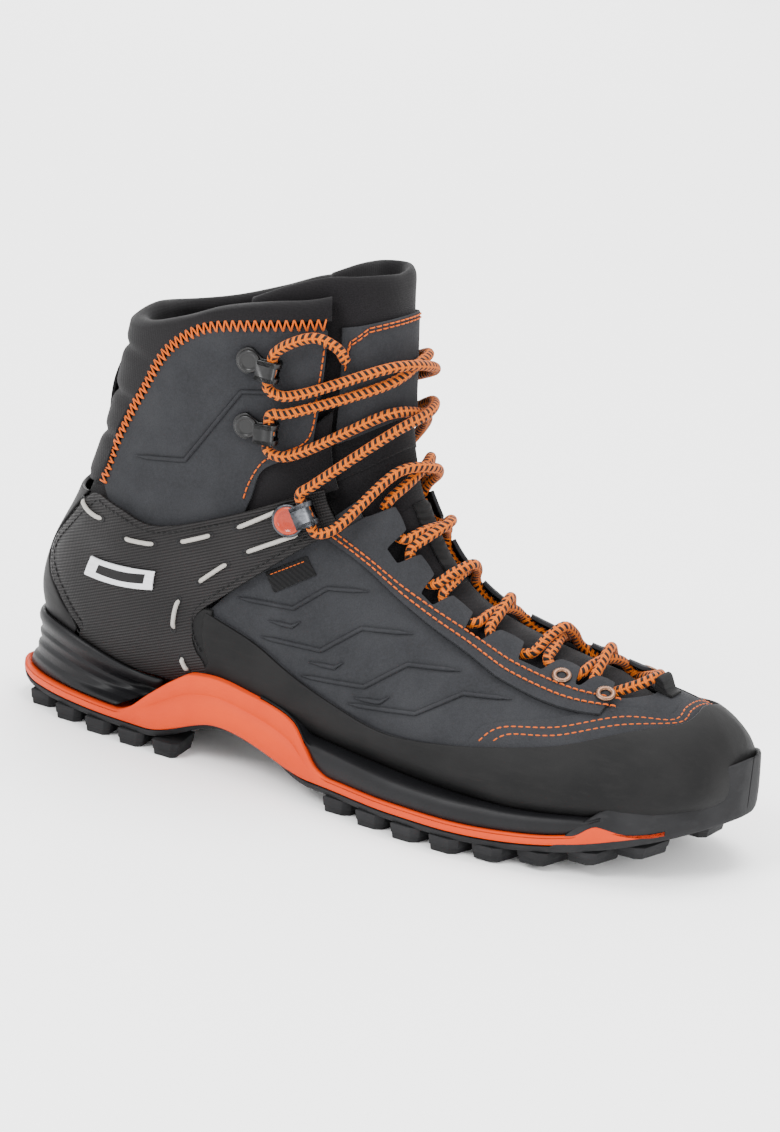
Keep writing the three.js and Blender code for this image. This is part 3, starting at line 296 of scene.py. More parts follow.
def spline(points, count):
    """A smooth path through points, evenly spaced."""
    p = np.asarray(points, float)
    ahead, behind = 2 * p[0] - p[1], 2 * p[-1] - p[-2]
    q = np.vstack([ahead, p, behind])
    out = []
    for k in range(1, len(q) - 2):
        a, b, c, d = q[k - 1:k + 3]
        t0, t1, t2, t3 = np.cumsum([0] + [max(np.linalg.norm(v), 1e-6) ** 0.5
                                          for v in (b - a, c - b, d - c)])
        for t in np.linspace(t1, t2, 17)[:-1]:
            a1 = (t1 - t) / (t1 - t0) * a + (t - t0) / (t1 - t0) * b
            a2 = (t2 - t) / (t2 - t1) * b + (t - t1) / (t2 - t1) * c
            a3 = (t3 - t) / (t3 - t2) * c + (t - t2) / (t3 - t2) * d
            b1 = (t2 - t) / (t2 - t0) * a1 + (t - t0) / (t2 - t0) * a2
            b2 = (t3 - t) / (t3 - t1) * a2 + (t - t1) / (t3 - t1) * a3
            out.append((t2 - t) / (t2 - t1) * b1 + (t - t1) / (t2 - t1) * b2)
    out = np.vstack(out + [p[-1]])
    run = run_along(out)
    at = np.linspace(0, run[-1], count)
    return np.stack([np.interp(at, run, out[:, k]) for k in range(3)], -1)


def frames(path):
    """Tangent and two cross directions along a path, turning as little as they can."""
    tangent = np.gradient(path, axis=0)
    tangent /= np.linalg.norm(tangent, axis=1, keepdims=True)
    x = np.cross(tangent[0], [0, 0, 1.0])
    if np.linalg.norm(x) < 0.1:
        x = np.cross(tangent[0], [0, 1.0, 0])
    sides = []
    for t in tangent:
        x = x - t * np.dot(x, t)
        x /= np.linalg.norm(x)
        sides.append(x.copy())
    sides = np.array(sides)
    return tangent, sides, np.cross(tangent, sides)


def tube_mesh(path, radius, facets):
    """Rings round a path with closed ends; radius may vary along it."""
    _, x, y = frames(path)
    radius = np.broadcast_to(radius, len(path))[:, None, None]
    a = np.arange(facets) * 2 * PI / facets
    ring = np.cos(a)[None, :, None] * x[:, None] + np.sin(a)[None, :, None] * y[:, None]
    return (path[:, None] + ring * radius).reshape(-1, 3), capped(len(path), facets)


def joined(meshes):
    """Several (points, faces) as one."""
    points, faces, base = [], [], 0
    for p, f in meshes:
        points.append(p)
        faces += [[int(v) + base for v in face] for face in f]
        base += len(p)
    return np.vstack(points), faces


def bead(start, end, lift, radius):
    """One stitch of thread from start to end, arched by lift, with its ends sunk in."""
    middle = (start + end) / 2 + lift
    path = np.array([start - lift * 1.2, lerp(start, middle, 0.25) + lift * 0.35, middle,
                     lerp(end, middle, 0.25) + lift * 0.35, end - lift * 1.2])
    return tube_mesh(path, radius * np.array([0.75, 1, 1, 1, 0.75]), 6)


def stitches(name, places, height, finish, slot, body="foot", pitch=2.6, radius=0.32, zigzag=0.0):
    """A line of stitching on the last; with zigzag the thread crosses the line to that width."""
    spots = on_last(places, height)
    outer = on_last(places, np.asarray(height) + 1)
    run = run_along(spots)
    count = int(run[-1] / pitch)

    def at(s, table):
        return np.stack([np.interp(s, run, table[:, k]) for k in range(3)], -1)
    beads = []
    gap = 0 if zigzag else THREAD_GAP / 2
    for k in range(count):
        a, b = (k + gap) * run[-1] / count, (k + 1 - gap) * run[-1] / count
        p, q = at(a, spots), at(b, spots)
        up = at((a + b) / 2, outer) - at((a + b) / 2, spots)
        if zigzag:
            along = (q - p) / max(np.linalg.norm(q - p), 1e-6)
            cross = np.cross(up, along) * zigzag / 2 * (1 if k % 2 else -1)
            p, q = p - cross, q + cross
        beads.append(bead(p, q, up * radius * 0.8, radius))
    return piece(name, *joined(beads), finish, slot, body)


# ---------------------------------------- finishes
class Value:
    """A number that changes over a surface; arithmetic on it adds Math nodes."""

    def __init__(self, finish, socket):
        self.finish, self.socket = finish, socket

    def math(self, operation, *others):
        return self.finish.node("ShaderNodeMath", {"operation": operation},
                                dict(enumerate((self, *others))))

    def __add__(self, other):
        return self.math("ADD", other)

    __radd__ = __add__

    def __sub__(self, other):
        return self.math("SUBTRACT", other)

    def __rsub__(self, other):
        return self.math("MULTIPLY", -1).math("ADD", other)

    def __mul__(self, other):
        return self.math("MULTIPLY", other)

    __rmul__ = __mul__

    def __truediv__(self, other):
        return self.math("DIVIDE", other)

    def above(self, edge, width):
        """0 below the edge, 1 above it, with a soft step of that width."""
        return self.finish.node("ShaderNodeMapRange", {"interpolation_type": "SMOOTHSTEP"},
                                {"Value": self, "From Min": edge - width / 2, "From Max": edge + width / 2})

    def wave(self, period):
        """A triangle wave from 0 to 1 along the value."""
        return self.math("PINGPONG", period / 2) * (2 / period)


class Finish:
    """A material made of nodes round one Principled shader."""

    def __init__(self, name, **constants):
        self.material = bpy.data.materials.new(name)
        self.material.use_nodes = True
        self.tree = self.material.node_tree
        self.shader = next(n for n in self.tree.nodes if n.type == "BSDF_PRINCIPLED")
        for key, value in constants.items():
            self.shader.inputs[key.replace("_", " ")].default_value = value

    def node(self, kind, settings=None, inputs=None, output=0):
        made = self.tree.nodes.new(kind)
        for key, value in (settings or {}).items():
            setattr(made, key, value)
        for key, value in (inputs or {}).items():
            if isinstance(value, Value):
                self.tree.links.new(value.socket, made.inputs[key])
            else:
                made.inputs[key].default_value = value
        return Value(self, made.outputs[output])

    def place(self):
        return self.node("ShaderNodeTexCoord", output="Object")

    def axes(self, vector):
        split = self.node("ShaderNodeSeparateXYZ", inputs={0: vector})
        return [Value(self, split.socket.node.outputs[k]) for k in range(3)]

    def attribute(self, name, output="Vector"):
        return self.node("ShaderNodeAttribute", {"attribute_name": name}, output=output)

    def noise(self, size, detail=3.0, roughness=0.55, at=None, stretch=(1, 1, 1)):
        """Fractal noise with blotches of about that size in metres."""
        where = self.node("ShaderNodeVectorMath", {"operation": "MULTIPLY"},
                          {0: at or self.place(), 1: stretch})
        return self.node("ShaderNodeTexNoise", inputs={"Vector": where, "Scale": 1 / size, "Detail": detail,
                                                       "Roughness": roughness})

    def mix(self, factor, a, b):
        return self.node("ShaderNodeMix", {"data_type": "RGBA"}, {0: factor, 6: a, 7: b}, output=2)

    def set(self, **values):
        for key, value in values.items():
            self.tree.links.new(value.socket, self.shader.inputs[key.replace("_", " ")])
        return self

    def bump(self, height, distance, strength=1.0):
        """distance in millimetres is how deep a height of 1 is."""
        relief = self.node("ShaderNodeBump", inputs={"Height": height, "Distance": distance / 1000,
                                                     "Strength": strength})
        return self.set(Normal=relief)


def srgb(r, g, b, dim=0.28):
    """A colour as it looks under this studio's bright light; dim takes off the light's share."""
    linear = [((c / 255 + 0.055) / 1.055) ** 2.4 if c > 10 else c / 255 / 12.92 for c in (r, g, b)]
    return (*[c * dim for c in linear], 1.0)


def suede_finish():
    f = Finish("slate suede", Sheen_Weight=0.12, Sheen_Roughness=0.45, Sheen_Tint=srgb(160, 160, 165),
               Specular_IOR_Level=0.12)
    clouds = f.noise(0.022, 4, 0.6).above(0.5, 0.4)
    nap = f.noise(0.0012, 4, 0.7)
    grain = f.noise(0.0004, 3, 0.7)
    base = f.mix(clouds, srgb(60, 61, 64), srgb(76, 77, 80))
    tint = f.mix(nap.above(0.5, 0.35) * 0.5, base, srgb(80, 81, 86))
    f.set(Base_Color=f.mix(grain.above(0.52, 0.25) * 0.35, tint, srgb(44, 45, 50)),
          Roughness=0.82 + 0.14 * nap)
    return f.bump(nap * 0.6 + grain * 0.4, 0.22).material


def softshell_finish():
    f = Finish("black softshell", Sheen_Weight=0.05, Sheen_Roughness=0.5, Specular_IOR_Level=0.1)
    x, y, z = f.axes(f.place())
    knit = (x + y * 0.8).wave(0.0007) * z.wave(0.0009)
    fuzz = f.noise(0.0006, 3, 0.7)
    clouds = f.noise(0.03, 3).above(0.5, 0.5)
    base = f.mix(clouds, srgb(26, 25, 27), srgb(36, 34, 36))
    f.set(Base_Color=f.mix(fuzz.above(0.5, 0.3) * 0.4, base, srgb(52, 49, 52)), Roughness=0.86 + fuzz * 0.1)
    return f.bump(knit * 0.5 + fuzz * 0.6, 0.16).material


def mesh_lining_finish():
    f = Finish("spacer mesh", Sheen_Weight=0.2, Specular_IOR_Level=0.1)
    x, y, z = f.axes(f.place())
    hole = (x + y).wave(0.0022).above(0.55, 0.3) * (z + x * 0.5).wave(0.0022).above(0.5, 0.3)
    f.set(Base_Color=f.mix(hole, srgb(74, 76, 84), srgb(24, 24, 27)), Roughness=0.9 - hole * 0.05)
    return f.bump(1 - hole, 0.35).material


def sling_finish():
    f = Finish("sling weave", Specular_IOR_Level=0.14, Coat_Roughness=0.4)
    x, _, z = f.axes(f.place())
    rib = (z * 0.92 - x * 0.38).wave(0.0011)
    cross = (x * 0.92 + z * 0.38).wave(0.0009)
    thread = rib.above(0.36, 0.6)
    sheen = f.noise(0.03, 3, 0.5).above(0.5, 0.5)
    base = f.mix(sheen, srgb(48, 46, 46), srgb(62, 59, 59))
    weave = f.mix(thread, srgb(34, 32, 33), base)
    f.set(Base_Color=f.mix(cross.above(0.82, 0.2) * 0.45, weave, srgb(40, 38, 39)),
          Roughness=0.62 - thread * 0.14)
    return f.bump(thread * 0.8 + cross * 0.25, 0.26).material


def rubber_finish(name, dark, light, rough, streak=0.4):
    f = Finish(name, Specular_IOR_Level=0.14)
    scuff = f.noise(0.004, 5, 0.65, stretch=(0.18, 1, 1.6))
    dust = f.noise(0.02, 3).above(0.5, 0.5)
    base = f.mix(dust * 0.6, dark, light)
    f.set(Base_Color=f.mix(scuff.above(0.58, 0.2) * streak, base, light), Roughness=rough + 0.16 * scuff)
    return f.bump(scuff + f.noise(0.0007, 2) * 0.4, 0.07).material


def foam_finish(name, deep, bright, rough=0.5):
    f = Finish(name, Specular_IOR_Level=0.15)
    haze = f.noise(0.03, 3).above(0.5, 0.6)
    pore = f.noise(0.0009, 3, 0.6)
    f.set(Base_Color=f.mix(haze, deep, bright), Roughness=rough + pore * 0.15)
    return f.bump(pore, 0.06).material


def metal_finish(name, tone, edge_tone, metal=1.0, rough=0.22, coat=0.6):
    f = Finish(name, Metallic=metal, Coat_Roughness=0.12, Coat_Weight=coat, Specular_IOR_Level=0.3)
    wear = f.noise(0.003, 4, 0.6)
    edge = f.node("ShaderNodeNewGeometry", output="Pointiness").above(0.54, 0.06)
    rubbed = edge * wear.above(0.45, 0.3)
    f.set(Base_Color=f.mix(rubbed, tone, edge_tone), Roughness=rough + wear * 0.14)
    return f.bump(wear, 0.02).material


def lace_finish():
    """Orange chevrons with black tracer threads; 'braid' holds cos, sin and the run in millimetres."""
    f = Finish("braided lace", Sheen_Weight=0.05, Specular_IOR_Level=0.15)
    c, s, run = f.axes(f.attribute("braid"))
    angle = s.math("ARCTAN2", c) / PI
    lean = angle.math("ABSOLUTE") * BRAID_LEAN
    column = (angle + 1).math("PINGPONG", 0.25) * 4
    row = (run + lean).wave(2.3)
    fleck = row.above(0.5, 0.2) * column.above(0.22, 0.3)
    strand = (run + lean).wave(BRAID_STRAND / 2)
    base = f.mix(strand, srgb(240, 104, 0, 0.36), srgb(255, 134, 0, 0.46))
    f.set(Base_Color=f.mix(fleck, base, srgb(34, 26, 24)), Roughness=0.75 + strand * 0.1)
    return f.bump(strand * 0.6 + column * 0.4, 0.3).material


def thread_finish(name, a, b):
    f = Finish(name, Sheen_Weight=0.05, Specular_IOR_Level=0.15)
    twist = f.noise(0.0006, 2)
    f.set(Base_Color=f.mix(twist, a, b), Roughness=0.6 + twist * 0.2)
    return f.bump(twist, 0.05).material


def webbing_finish():
    f = Finish("ribbed webbing", Sheen_Weight=0.04, Specular_IOR_Level=0.15)
    x, _, z = f.axes(f.place())
    rib = (x * 0.45 + z * 0.9).wave(0.0016)
    f.set(Base_Color=f.mix(rib, srgb(12, 12, 13, 0.2), srgb(38, 38, 40, 0.2)), Roughness=0.8 + rib * 0.1)
    return f.bump(rib, 0.35).material


def cord_finish():
    f = Finish("pale cord", Specular_IOR_Level=0.4)
    ply = f.noise(0.0006, 2, stretch=(1, 1, 2))
    f.set(Base_Color=f.mix(ply, srgb(160, 156, 150, 0.5), srgb(206, 202, 194, 0.55)),
          Roughness=0.45 + ply * 0.2)
    return f.bump(ply, 0.08).material


def badge_finish():
    f = Finish("silver plate", Metallic=0.75, Coat_Weight=0.3, Coat_Roughness=0.15)
    brush = f.noise(0.001, 3, 0.5, stretch=(0.15, 1, 1))
    f.set(Base_Color=f.mix(brush, srgb(190, 191, 194, 0.7), srgb(232, 233, 236, 0.8)),
          Roughness=0.26 + brush * 0.16)
    return f.bump(brush, 0.02).material


suede = suede_finish()
softshell = softshell_finish()
mesh_lining = mesh_lining_finish()
sling_weave = sling_finish()
rand_rubber = rubber_finish("rand rubber", srgb(22, 22, 23), srgb(44, 43, 43), 0.55, 0.45)
sole_rubber = rubber_finish("lugged rubber", srgb(44, 44, 46), srgb(72, 72, 74), 0.66, 0.4)
counter_rubber = rubber_finish("counter rubber", srgb(28, 27, 28), srgb(46, 44, 45), 0.5, 0.25)
orange_foam = foam_finish("orange foam", srgb(255, 70, 2, 0.4), srgb(255, 78, 4, 0.46), 0.5)
black_foam = foam_finish("black foam", srgb(26, 26, 28), srgb(42, 42, 45), 0.4)
black_metal = metal_finish("black enamel", srgb(6, 6, 8, 0.2), srgb(24, 25, 28, 0.2), 0.0, 0.26, 0.05)
dark_chrome = metal_finish("dark chrome", srgb(84, 86, 90), srgb(130, 132, 138), 1.0, 0.28, 0.0)
orange_enamel = metal_finish("orange enamel", srgb(255, 66, 0, 0.26), srgb(255, 82, 2, 0.3), 0.0, 0.2, 0.12)
gunmetal = metal_finish("bronze eyelet", srgb(150, 108, 82, 0.4), srgb(190, 152, 128, 0.42), 0.95, 0.3, 0.2)
lace_braid = lace_finish()
orange_thread = thread_finish("orange thread", srgb(240, 96, 0, 0.36), srgb(255, 124, 10, 0.44))
black_thread = thread_finish("black thread", srgb(14, 14, 15), srgb(30, 30, 32))
webbing = webbing_finish()
pale_cord = cord_finish()
silver_plate = badge_finish()


# ---------------------------------------- studio
VIEW = {"azimuth": 28, "elevation": 17, "roll": 6.2, "distance": 1800, "lens": 155.7}
AIM_SHIFT = (-2.32, -6.32)
LOOKED_AT = np.array([150, 0, 90.0])


def set_camera():
    az, el, roll = (np.radians(VIEW[k]) for k in ("azimuth", "elevation", "roll"))
    back = np.array([np.sin(az) * np.cos(el), -np.cos(az) * np.cos(el), np.sin(el)])
    right = np.array([np.cos(az), np.sin(az), 0])
    up = np.cross(back, right)
    right, up = right * np.cos(roll) + up * np.sin(roll), up * np.cos(roll) - right * np.sin(roll)
    aim = LOOKED_AT + right * AIM_SHIFT[0] + up * AIM_SHIFT[1]
    eye = metres(aim + back * VIEW["distance"])
    data = bpy.data.cameras.new("camera")
    data.lens = VIEW["lens"]
    data.sensor_width = 36
    data.sensor_fit = "AUTO"
    data.clip_end = 50
    camera = bpy.data.objects.new("camera", data)
    camera.matrix_world = Matrix.Translation(Vector(eye)) @ Matrix(np.stack([right, up, back], 1)).to_4x4()
    bpy.context.scene.collection.objects.link(camera)
    bpy.context.scene.camera = camera


def set_light(name, place, size, watts):
    data = bpy.data.lights.new(name, "AREA")
    data.shape = "DISK"
    data.size = size
    data.energy = watts
    light = bpy.data.objects.new(name, data)
    light.location = place
    light.rotation_euler = (Vector((0, 0, 0.08)) - Vector(place)).to_track_quat("-Z", "Y").to_euler()
    bpy.context.scene.collection.objects.link(light)


FLOOR_REACH = 6.0
DAYLIGHT = 2.3
LIGHTS = {"key": ((-0.5, -1.5, 1.5), 0.9, 46), "front": ((1.6, -0.9, 0.7), 0.8, 20),
          "top": ((0.1, 0.4, 1.8), 1.0, 34), "back": ((-1.0, 1.6, 0.8), 1.0, 16)}


def set_studio():
    floor = bpy.data.meshes.new("floor")
    corners = [(x * FLOOR_REACH, y * FLOOR_REACH, 0) for x, y in ((-1, -1), (1, -1), (1, 1), (-1, 1))]
    floor.from_pydata(corners, [], [(0, 1, 2, 3)])
    pale = bpy.data.materials.new("pale floor")
    pale.use_nodes = True
    shader = pale.node_tree.nodes["Principled BSDF"]
    shader.inputs["Base Color"].default_value = (0.97, 0.97, 0.97, 1)
    shader.inputs["Roughness"].default_value = 0.9
    floor.materials.append(pale)
    ground = bpy.data.objects.new("floor", floor)
    bpy.context.scene.collection.objects.link(ground)
    world = bpy.data.worlds.new("studio")
    world.use_nodes = True
    sky = world.node_tree.nodes["Background"]
    sky.inputs["Color"].default_value = (1, 1, 1, 1)
    sky.inputs["Strength"].default_value = DAYLIGHT
    bpy.context.scene.world = world
    for name, settings in LIGHTS.items():
        set_light(name, *settings)


set_camera()
set_studio()


# ---------------------------------------- sole
OUTER_OUTLINE = np.array([[0, 0], [2, -13], [8, -20], [19, -27], [35, -33], [55, -37], [85, -39],
                          [120, -40], [150, -44], [185, -51], [205, -52], [225, -49], [250, -42],
                          [270, -31], [285, -16], [294, 0], [297, 14]])
INNER_OUTLINE = np.array([[0, 0], [2, 13], [8, 20], [19, 27], [35, 33], [55, 36], [85, 35], [120, 35],
                          [160, 39], [200, 46], [235, 49], [265, 46], [285, 39], [294, 28], [297, 14]])
FLOOR = np.array([[0, 26], [24, 26], [58, 24], [98, 23], [136, 21], [168, 19], [198, 18], [226, 18],
                  [250, 19.5], [271, 22.5], [283, 26.5], [300, 30]])
RIM = np.array([[0, 13], [20, 12.6], [58, 12.6], [64, 15], [72, 22], [82, 30], [90, 34.5], [100, 35.5],
                [115, 33.5], [130, 30.5], [136, 28], [143, 21], [150, 14.5], [156, 12.6], [215, 12.6],
                [235, 13.6], [254, 16.5], [262, 23], [275, 24.5], [290, 26.5], [297, 29]])
BUMPER = np.array([[0, 0], [246, 0], [254, 7], [264, 14], [276, 18], [297, 20]])


def bend_of(x):
    """Station angle along the sole, so that outlines stay round at the heel and toe."""
    return np.arccos(np.clip(1 - 2 * np.asarray(x, float) / SOLE_LENGTH, -1, 1))


def curve(table, x):
    """A smooth line through a table's points that never overshoots."""
    tx, ty = table[:, 0], table[:, 1]
    slope = np.diff(ty) / np.diff(tx)
    ends = np.concatenate([[slope[0]], slope, [slope[-1]]])
    a, b = ends[:-1], ends[1:]
    m = np.where(a * b > 0, 2 * a * b / np.where(a + b == 0, 1, a + b), 0)
    x = np.clip(x, tx[0], tx[-1])
    i = np.clip(np.searchsorted(tx, x, side="right") - 1, 0, len(tx) - 2)
    h = tx[i + 1] - tx[i]
    f = (x - tx[i]) / h
    return ((1 + 2 * f) * (1 - f)**2 * ty[i] + f * (1 - f)**2 * h * m[i]
            + f * f * (3 - 2 * f) * ty[i + 1] + f * f * (f - 1) * h * m[i + 1])


def outline(table, x):
    bent = np.column_stack([bend_of(table[:, 0]), table[:, 1]])
    return curve(bent, bend_of(x))


def spring_at(x):
    """How far the sole curls up at the toe and at the back of the heel."""
    toe = np.maximum(0, (x - 215) / (SOLE_LENGTH - 215))**2 * 16
    return toe + np.maximum(0, 1 - x / 14)**2 * 2.5


def arch_at(x):
    """How far the sole rises under the arch."""
    return 9 * smooth(np.where(x < 104, (x - 72) / 32, (148 - x) / 44))


def outsole_top(x):
    return LUG_DEPTH + OUTSOLE_BASE + spring_at(x) + arch_at(x)


def midsole_floor(x):
    return np.maximum(outsole_top(x) + 1.8, 11.2 + np.minimum(spring_at(x), 12))


def sole_loft(name, stations, section_at, finish, slot, replaces=()):
    """section_at(x) is the half section, (inset, height), from the bottom middle out and up to the top."""
    rings = []
    for x in stations:
        outer, inner = float(outline(OUTER_OUTLINE, x)), float(outline(INNER_OUTLINE, x))
        middle, limit = (outer + inner) / 2, (inner - outer) / 2 - 0.25
        half = section_at(float(x))
        right = [(x, outer + min(i, limit), z) for i, z in half]
        left = [(x, inner - min(i, limit), z) for i, z in half][::-1]
        rings.append([(x, middle, half[0][1])] + right + [(x, middle, half[-1][1])] + left)
    size = len(rings[0])
    points = np.array(rings, float).reshape(-1, 3)
    faces = ring_faces(len(rings), size)
    for base in (0, len(points) - size):
        loop = list(range(base, base + size))
        faces += [[loop[k], loop[k + 1], loop[-k - 1], loop[-k]] for k in range(1, size // 2)]
    return piece(name, points, [f for f in faces if len(set(f)) > 2], finish, slot, replaces=replaces)


def bent_stations(low, high, count):
    angle = np.linspace(bend_of(low), bend_of(high), count)
    return SOLE_LENGTH * (1 - np.cos(angle)) / 2


TREAD_BASE = 2.6


def outsole_section(x):
    top, tuck = float(outsole_top(x)), 5 * min(1.0, float(arch_at(x)) / 5)
    low = top - TREAD_BASE
    bumper = float(curve(BUMPER, x))
    side = [(6 + tuck, low), (2.2 + tuck, low + 0.1), (1.1 + tuck, low + 0.9), (0.6 + tuck, low + 2),
            (0.35 + tuck, top)]
    if bumper > 0.4:
        lip = lerp(2.2, 3.4, smooth((x - 270) / 20))
        lean = bumper * 0.12
        rise = [(0.1 + lean * k * k, top + bumper * k) for k in (0.25, 0.5, 0.8, 0.93)]
        return side + rise + [(lean + 0.9, top + bumper), (lean + lip, top + bumper - 0.2),
                              (lean + lip + 0.5, top + bumper - 1.2), (lean + lip + 1, top)]
    return (side + [(0.4 + tuck, top + 0.01 * (k + 1)) for k in range(4)]
            + [(inset + tuck, top + 0.05) for inset in (1, 2.6, 2.9, 4)])


def lug_mesh(x, y0, y1, length, cut, skew):
    """One tread block, wider at its root, with cut corners on its outer edge and slanted by skew."""
    top = LUG_DEPTH + 1.6 + float(spring_at(x))
    foot = float(spring_at(x + length / 2 * np.sign(x - 150)))
    plan = np.array([(-length / 2, 0), (-length / 2 + cut, 0), (length / 2 - cut, 0), (length / 2, cut),
                     (length / 2, 1), (-length / 2, 1)], float)
    width = y1 - y0
    loop = []
    for px, f in plan:
        fy = 0.0 if f == 0 else (cut / abs(width) if f == cut else 1.0)
        loop.append((x + px + skew * fy, y0 + width * fy))
    loop = np.array(loop)
    away = loop - loop.mean(0)
    away /= np.maximum(np.linalg.norm(away, axis=1, keepdims=True), 1e-6)
    rings = []
    for z, grow in ((foot, -0.9), (foot + 0.35, -0.4), (foot + 2.4, 0.0), (foot + 2.6, 0.4), (top, 1.0)):
        rings.append(np.column_stack([loop + away * grow, np.full(len(loop), z)]))
    return np.vstack(rings), capped(len(rings), len(loop))


HEEL_LUGS = (18, 34, 50, 66, 82)
TOE_LUGS = (160, 176, 192, 208, 224, 240, 256, 270)
MIDDLE_LUGS = (26, 58, 168, 184, 200, 216, 232, 248, 282)
LUG_LENGTH, LUG_CUT, LUG_SKEW = 9.5, 2.2, 3


def make_tread():
    """Slanted lugs along both rims and a row of lugs down the middle."""
    def rim_lugs(x, at_outer, at_inner, inset, reach, skew):
        outer, inner = outline(OUTER_OUTLINE, at_outer) + inset, outline(INNER_OUTLINE, at_inner) - inset
        return [lug_mesh(x, start, start + turn * reach, LUG_LENGTH, LUG_CUT, skew)
                for start, turn in ((outer, 1), (inner, -1))]
    lugs = []
    for x in HEEL_LUGS:
        lugs += rim_lugs(x, x - 4, x - 4, 0.8, 17, -LUG_SKEW)
    for x in TOE_LUGS:
        lugs += rim_lugs(x, x + (5 if x > 200 else -4), x + (5 if x > 235 else -4), 1.0, 16, LUG_SKEW)
    for x in MIDDLE_LUGS:
        middle = (outline(OUTER_OUTLINE, x) + outline(INNER_OUTLINE, x)) / 2
        lugs.append(lug_mesh(x, middle - 8, middle + 8, 8.5, 2.5, 0))
    return soften(piece("tread_lugs", *joined(lugs), sole_rubber, "sole_rubber"), 0.3, 2)


def midsole_section(x):
    bottom = float(outsole_top(x)) + STACK_GAP
    floor = float(midsole_floor(x))
    top = max(float(curve(RIM, x)), floor + 0.8)
    top = float(lerp(top, bottom + 0.3, smooth((x - 252) / 29)))
    climb = float(smooth((top - 16) / 12)) * (x < 200)
    lip = lerp(4.5, 15, climb)
    lean = 1.5 * climb
    rise = top - bottom
    crease = bottom + rise * 0.62
    groove = 0.55 * climb
    return [(8, bottom), (1.6, bottom), (0.5, bottom + 0.35), (0.0, bottom + min(1.0, rise * 0.25)),
            (lean * 0.2, crease - 0.5), (groove + lean * 0.35, crease - 0.1),
            (groove + lean * 0.4, crease + 0.4), (lean * 0.6, crease + 0.8), (lean, top - 0.9),
            (lean + 0.25, top - 0.3), (lean + 0.8, top), (lip, top), (lip + 0.2, max(top - 3, floor)),
            (lip + 1, floor)]


def wedge_section(x):
    floor = float(midsole_floor(x))
    rim = max(float(curve(RIM, x)), floor + 0.8)
    bottom = rim + STACK_GAP
    top = max(bottom + 0.5, float(curve(FLOOR, x)) + 2.6)
    inset = lerp(3.6, 1.2, float(smooth((x - 136) / 16)))
    mid = (bottom + top) / 2
    return [(inset + 6, bottom), (inset + 0.6, bottom), (inset, bottom + 0.6), (inset - 0.35, mid - 0.8),
            (inset - 0.2, mid + 0.6), (inset + 0.5, top - 1.0), (inset + 1.5, top - 0.2), (inset + 6, top)]


sole_loft("outsole_shell", bent_stations(0.6, 296.4, 150), outsole_section, sole_rubber, "sole_rubber",
          ["outsole", "toe_bumper"])
make_tread()
sole_loft("midsole_skin", bent_stations(1.2, 281, 190), midsole_section, orange_foam, "orange_foam",
          ["midsole"])
sole_loft("wedge_skin", bent_stations(120, 262, 140), wedge_section, black_foam, "black_foam",
          ["eva_wedge"])

HEEL_CUP_FRONT, HEEL_CUP_FOOT, HEEL_CUP_TOP = 57, 13.2, 38.5
# share of the wall's height, and how far the ridge or groove there stands out
HEEL_CUP_RIDGES = [(0.14, 0.5), (0.2, 0.6), (0.24, -0.5), (0.28, -0.3), (0.44, 0.6), (0.5, 0.65),
                   (0.54, -0.5), (0.58, -0.3), (0.74, 0.55), (0.8, 0.6), (0.84, -0.4), (0.88, -0.2)]


def back_at(z):
    u = np.arange(10.5, TOP, 0.005)
    row = section(u)
    k = int(np.argmax(row[:, 1] >= z))
    return u[k], row[k, 0]


def heel_cup_ring(s, flip):
    def reach(back, z):
        return back + (HEEL_CUP_FRONT + (z - HEEL_CUP_FOOT) - back) * (1 - np.sin(PI * s / 2))

    def wall(z, offset):
        u, back = back_at(z)
        x = reach(back + 0.3, z)
        place = [u, 0.0] if s > 0.999 else locate(x, z)
        return on_last(flip(np.array(place)), offset)

    def foot(inset, z):
        x = reach(inset, z)
        table = OUTER_OUTLINE if flip is SIDES["lateral"] else INNER_OUTLINE
        y = float(outline(table, max(0.3, x - inset))) * (1 - inset / 40)
        return np.array([x, y, z])
    dip = 9.5 * float(smooth((reach(8, HEEL_CUP_TOP) - 14) / 58))
    top = HEEL_CUP_TOP - dip
    near = OVERLAY[1] + 0.5
    low, high = foot(2.4, HEEL_CUP_FOOT + 0.6), wall(top - 3.4, near + 2.8)
    out = [foot(12, HEEL_CUP_FOOT), foot(3.0, HEEL_CUP_FOOT), low]
    for f, ridge in HEEL_CUP_RIDGES:
        p = lerp(low, high, f)
        side = np.array([p[0] - 62, p[1], 0])
        side = side / np.linalg.norm(side)
        waist = -1.6 * np.sin(PI * f)
        out.append(p + side * (ridge + waist))
    out += [high, wall(top - 2.2, near + 2.9), wall(top - 1.3, near + 2.6), wall(top - 0.5, near + 2.0),
            wall(top, near + 1.2), wall(top, near + 0.2), wall(top - 4, near - 0.2)]
    return out


def make_heel_cup():
    steps = np.linspace(0, 1, 34)
    rings = [heel_cup_ring(s, SIDES["lateral"]) for s in steps]
    rings += [heel_cup_ring(s, SIDES["medial"]) for s in steps[-2::-1]]
    return piece("heel_cup_skin", np.array(rings).reshape(-1, 3), capped(len(rings), len(rings[0])),
                 black_foam, "black_foam", replaces=["heel_cup"])


make_heel_cup()


# ---------------------------------------- upper: foot panels
RAND_TOP = [(92.5, 59), (113, 53), (133, 45), (155, 39), (177, 35.5), (200, 37), (222, 40), (243, 44),
            (258, 49), On(2.75, 0.82 * PI), On(2.75, PI)]
THROAT_PHI, TAB_PHI = 0.775, 0.865
FOOT_BOTTOM = [On(9.45, 0.13 * PI), On(6, 0.13 * PI), On(3, 0.12 * PI), On(1.2, 0.16 * PI),
               On(0, 0.22 * PI)]
FOOT_MIDDLE = [On(9.45, 0.3 * PI), On(6, 0.33 * PI), On(3, 0.5 * PI), On(1.2, 0.66 * PI), On(0, 0.8 * PI)]


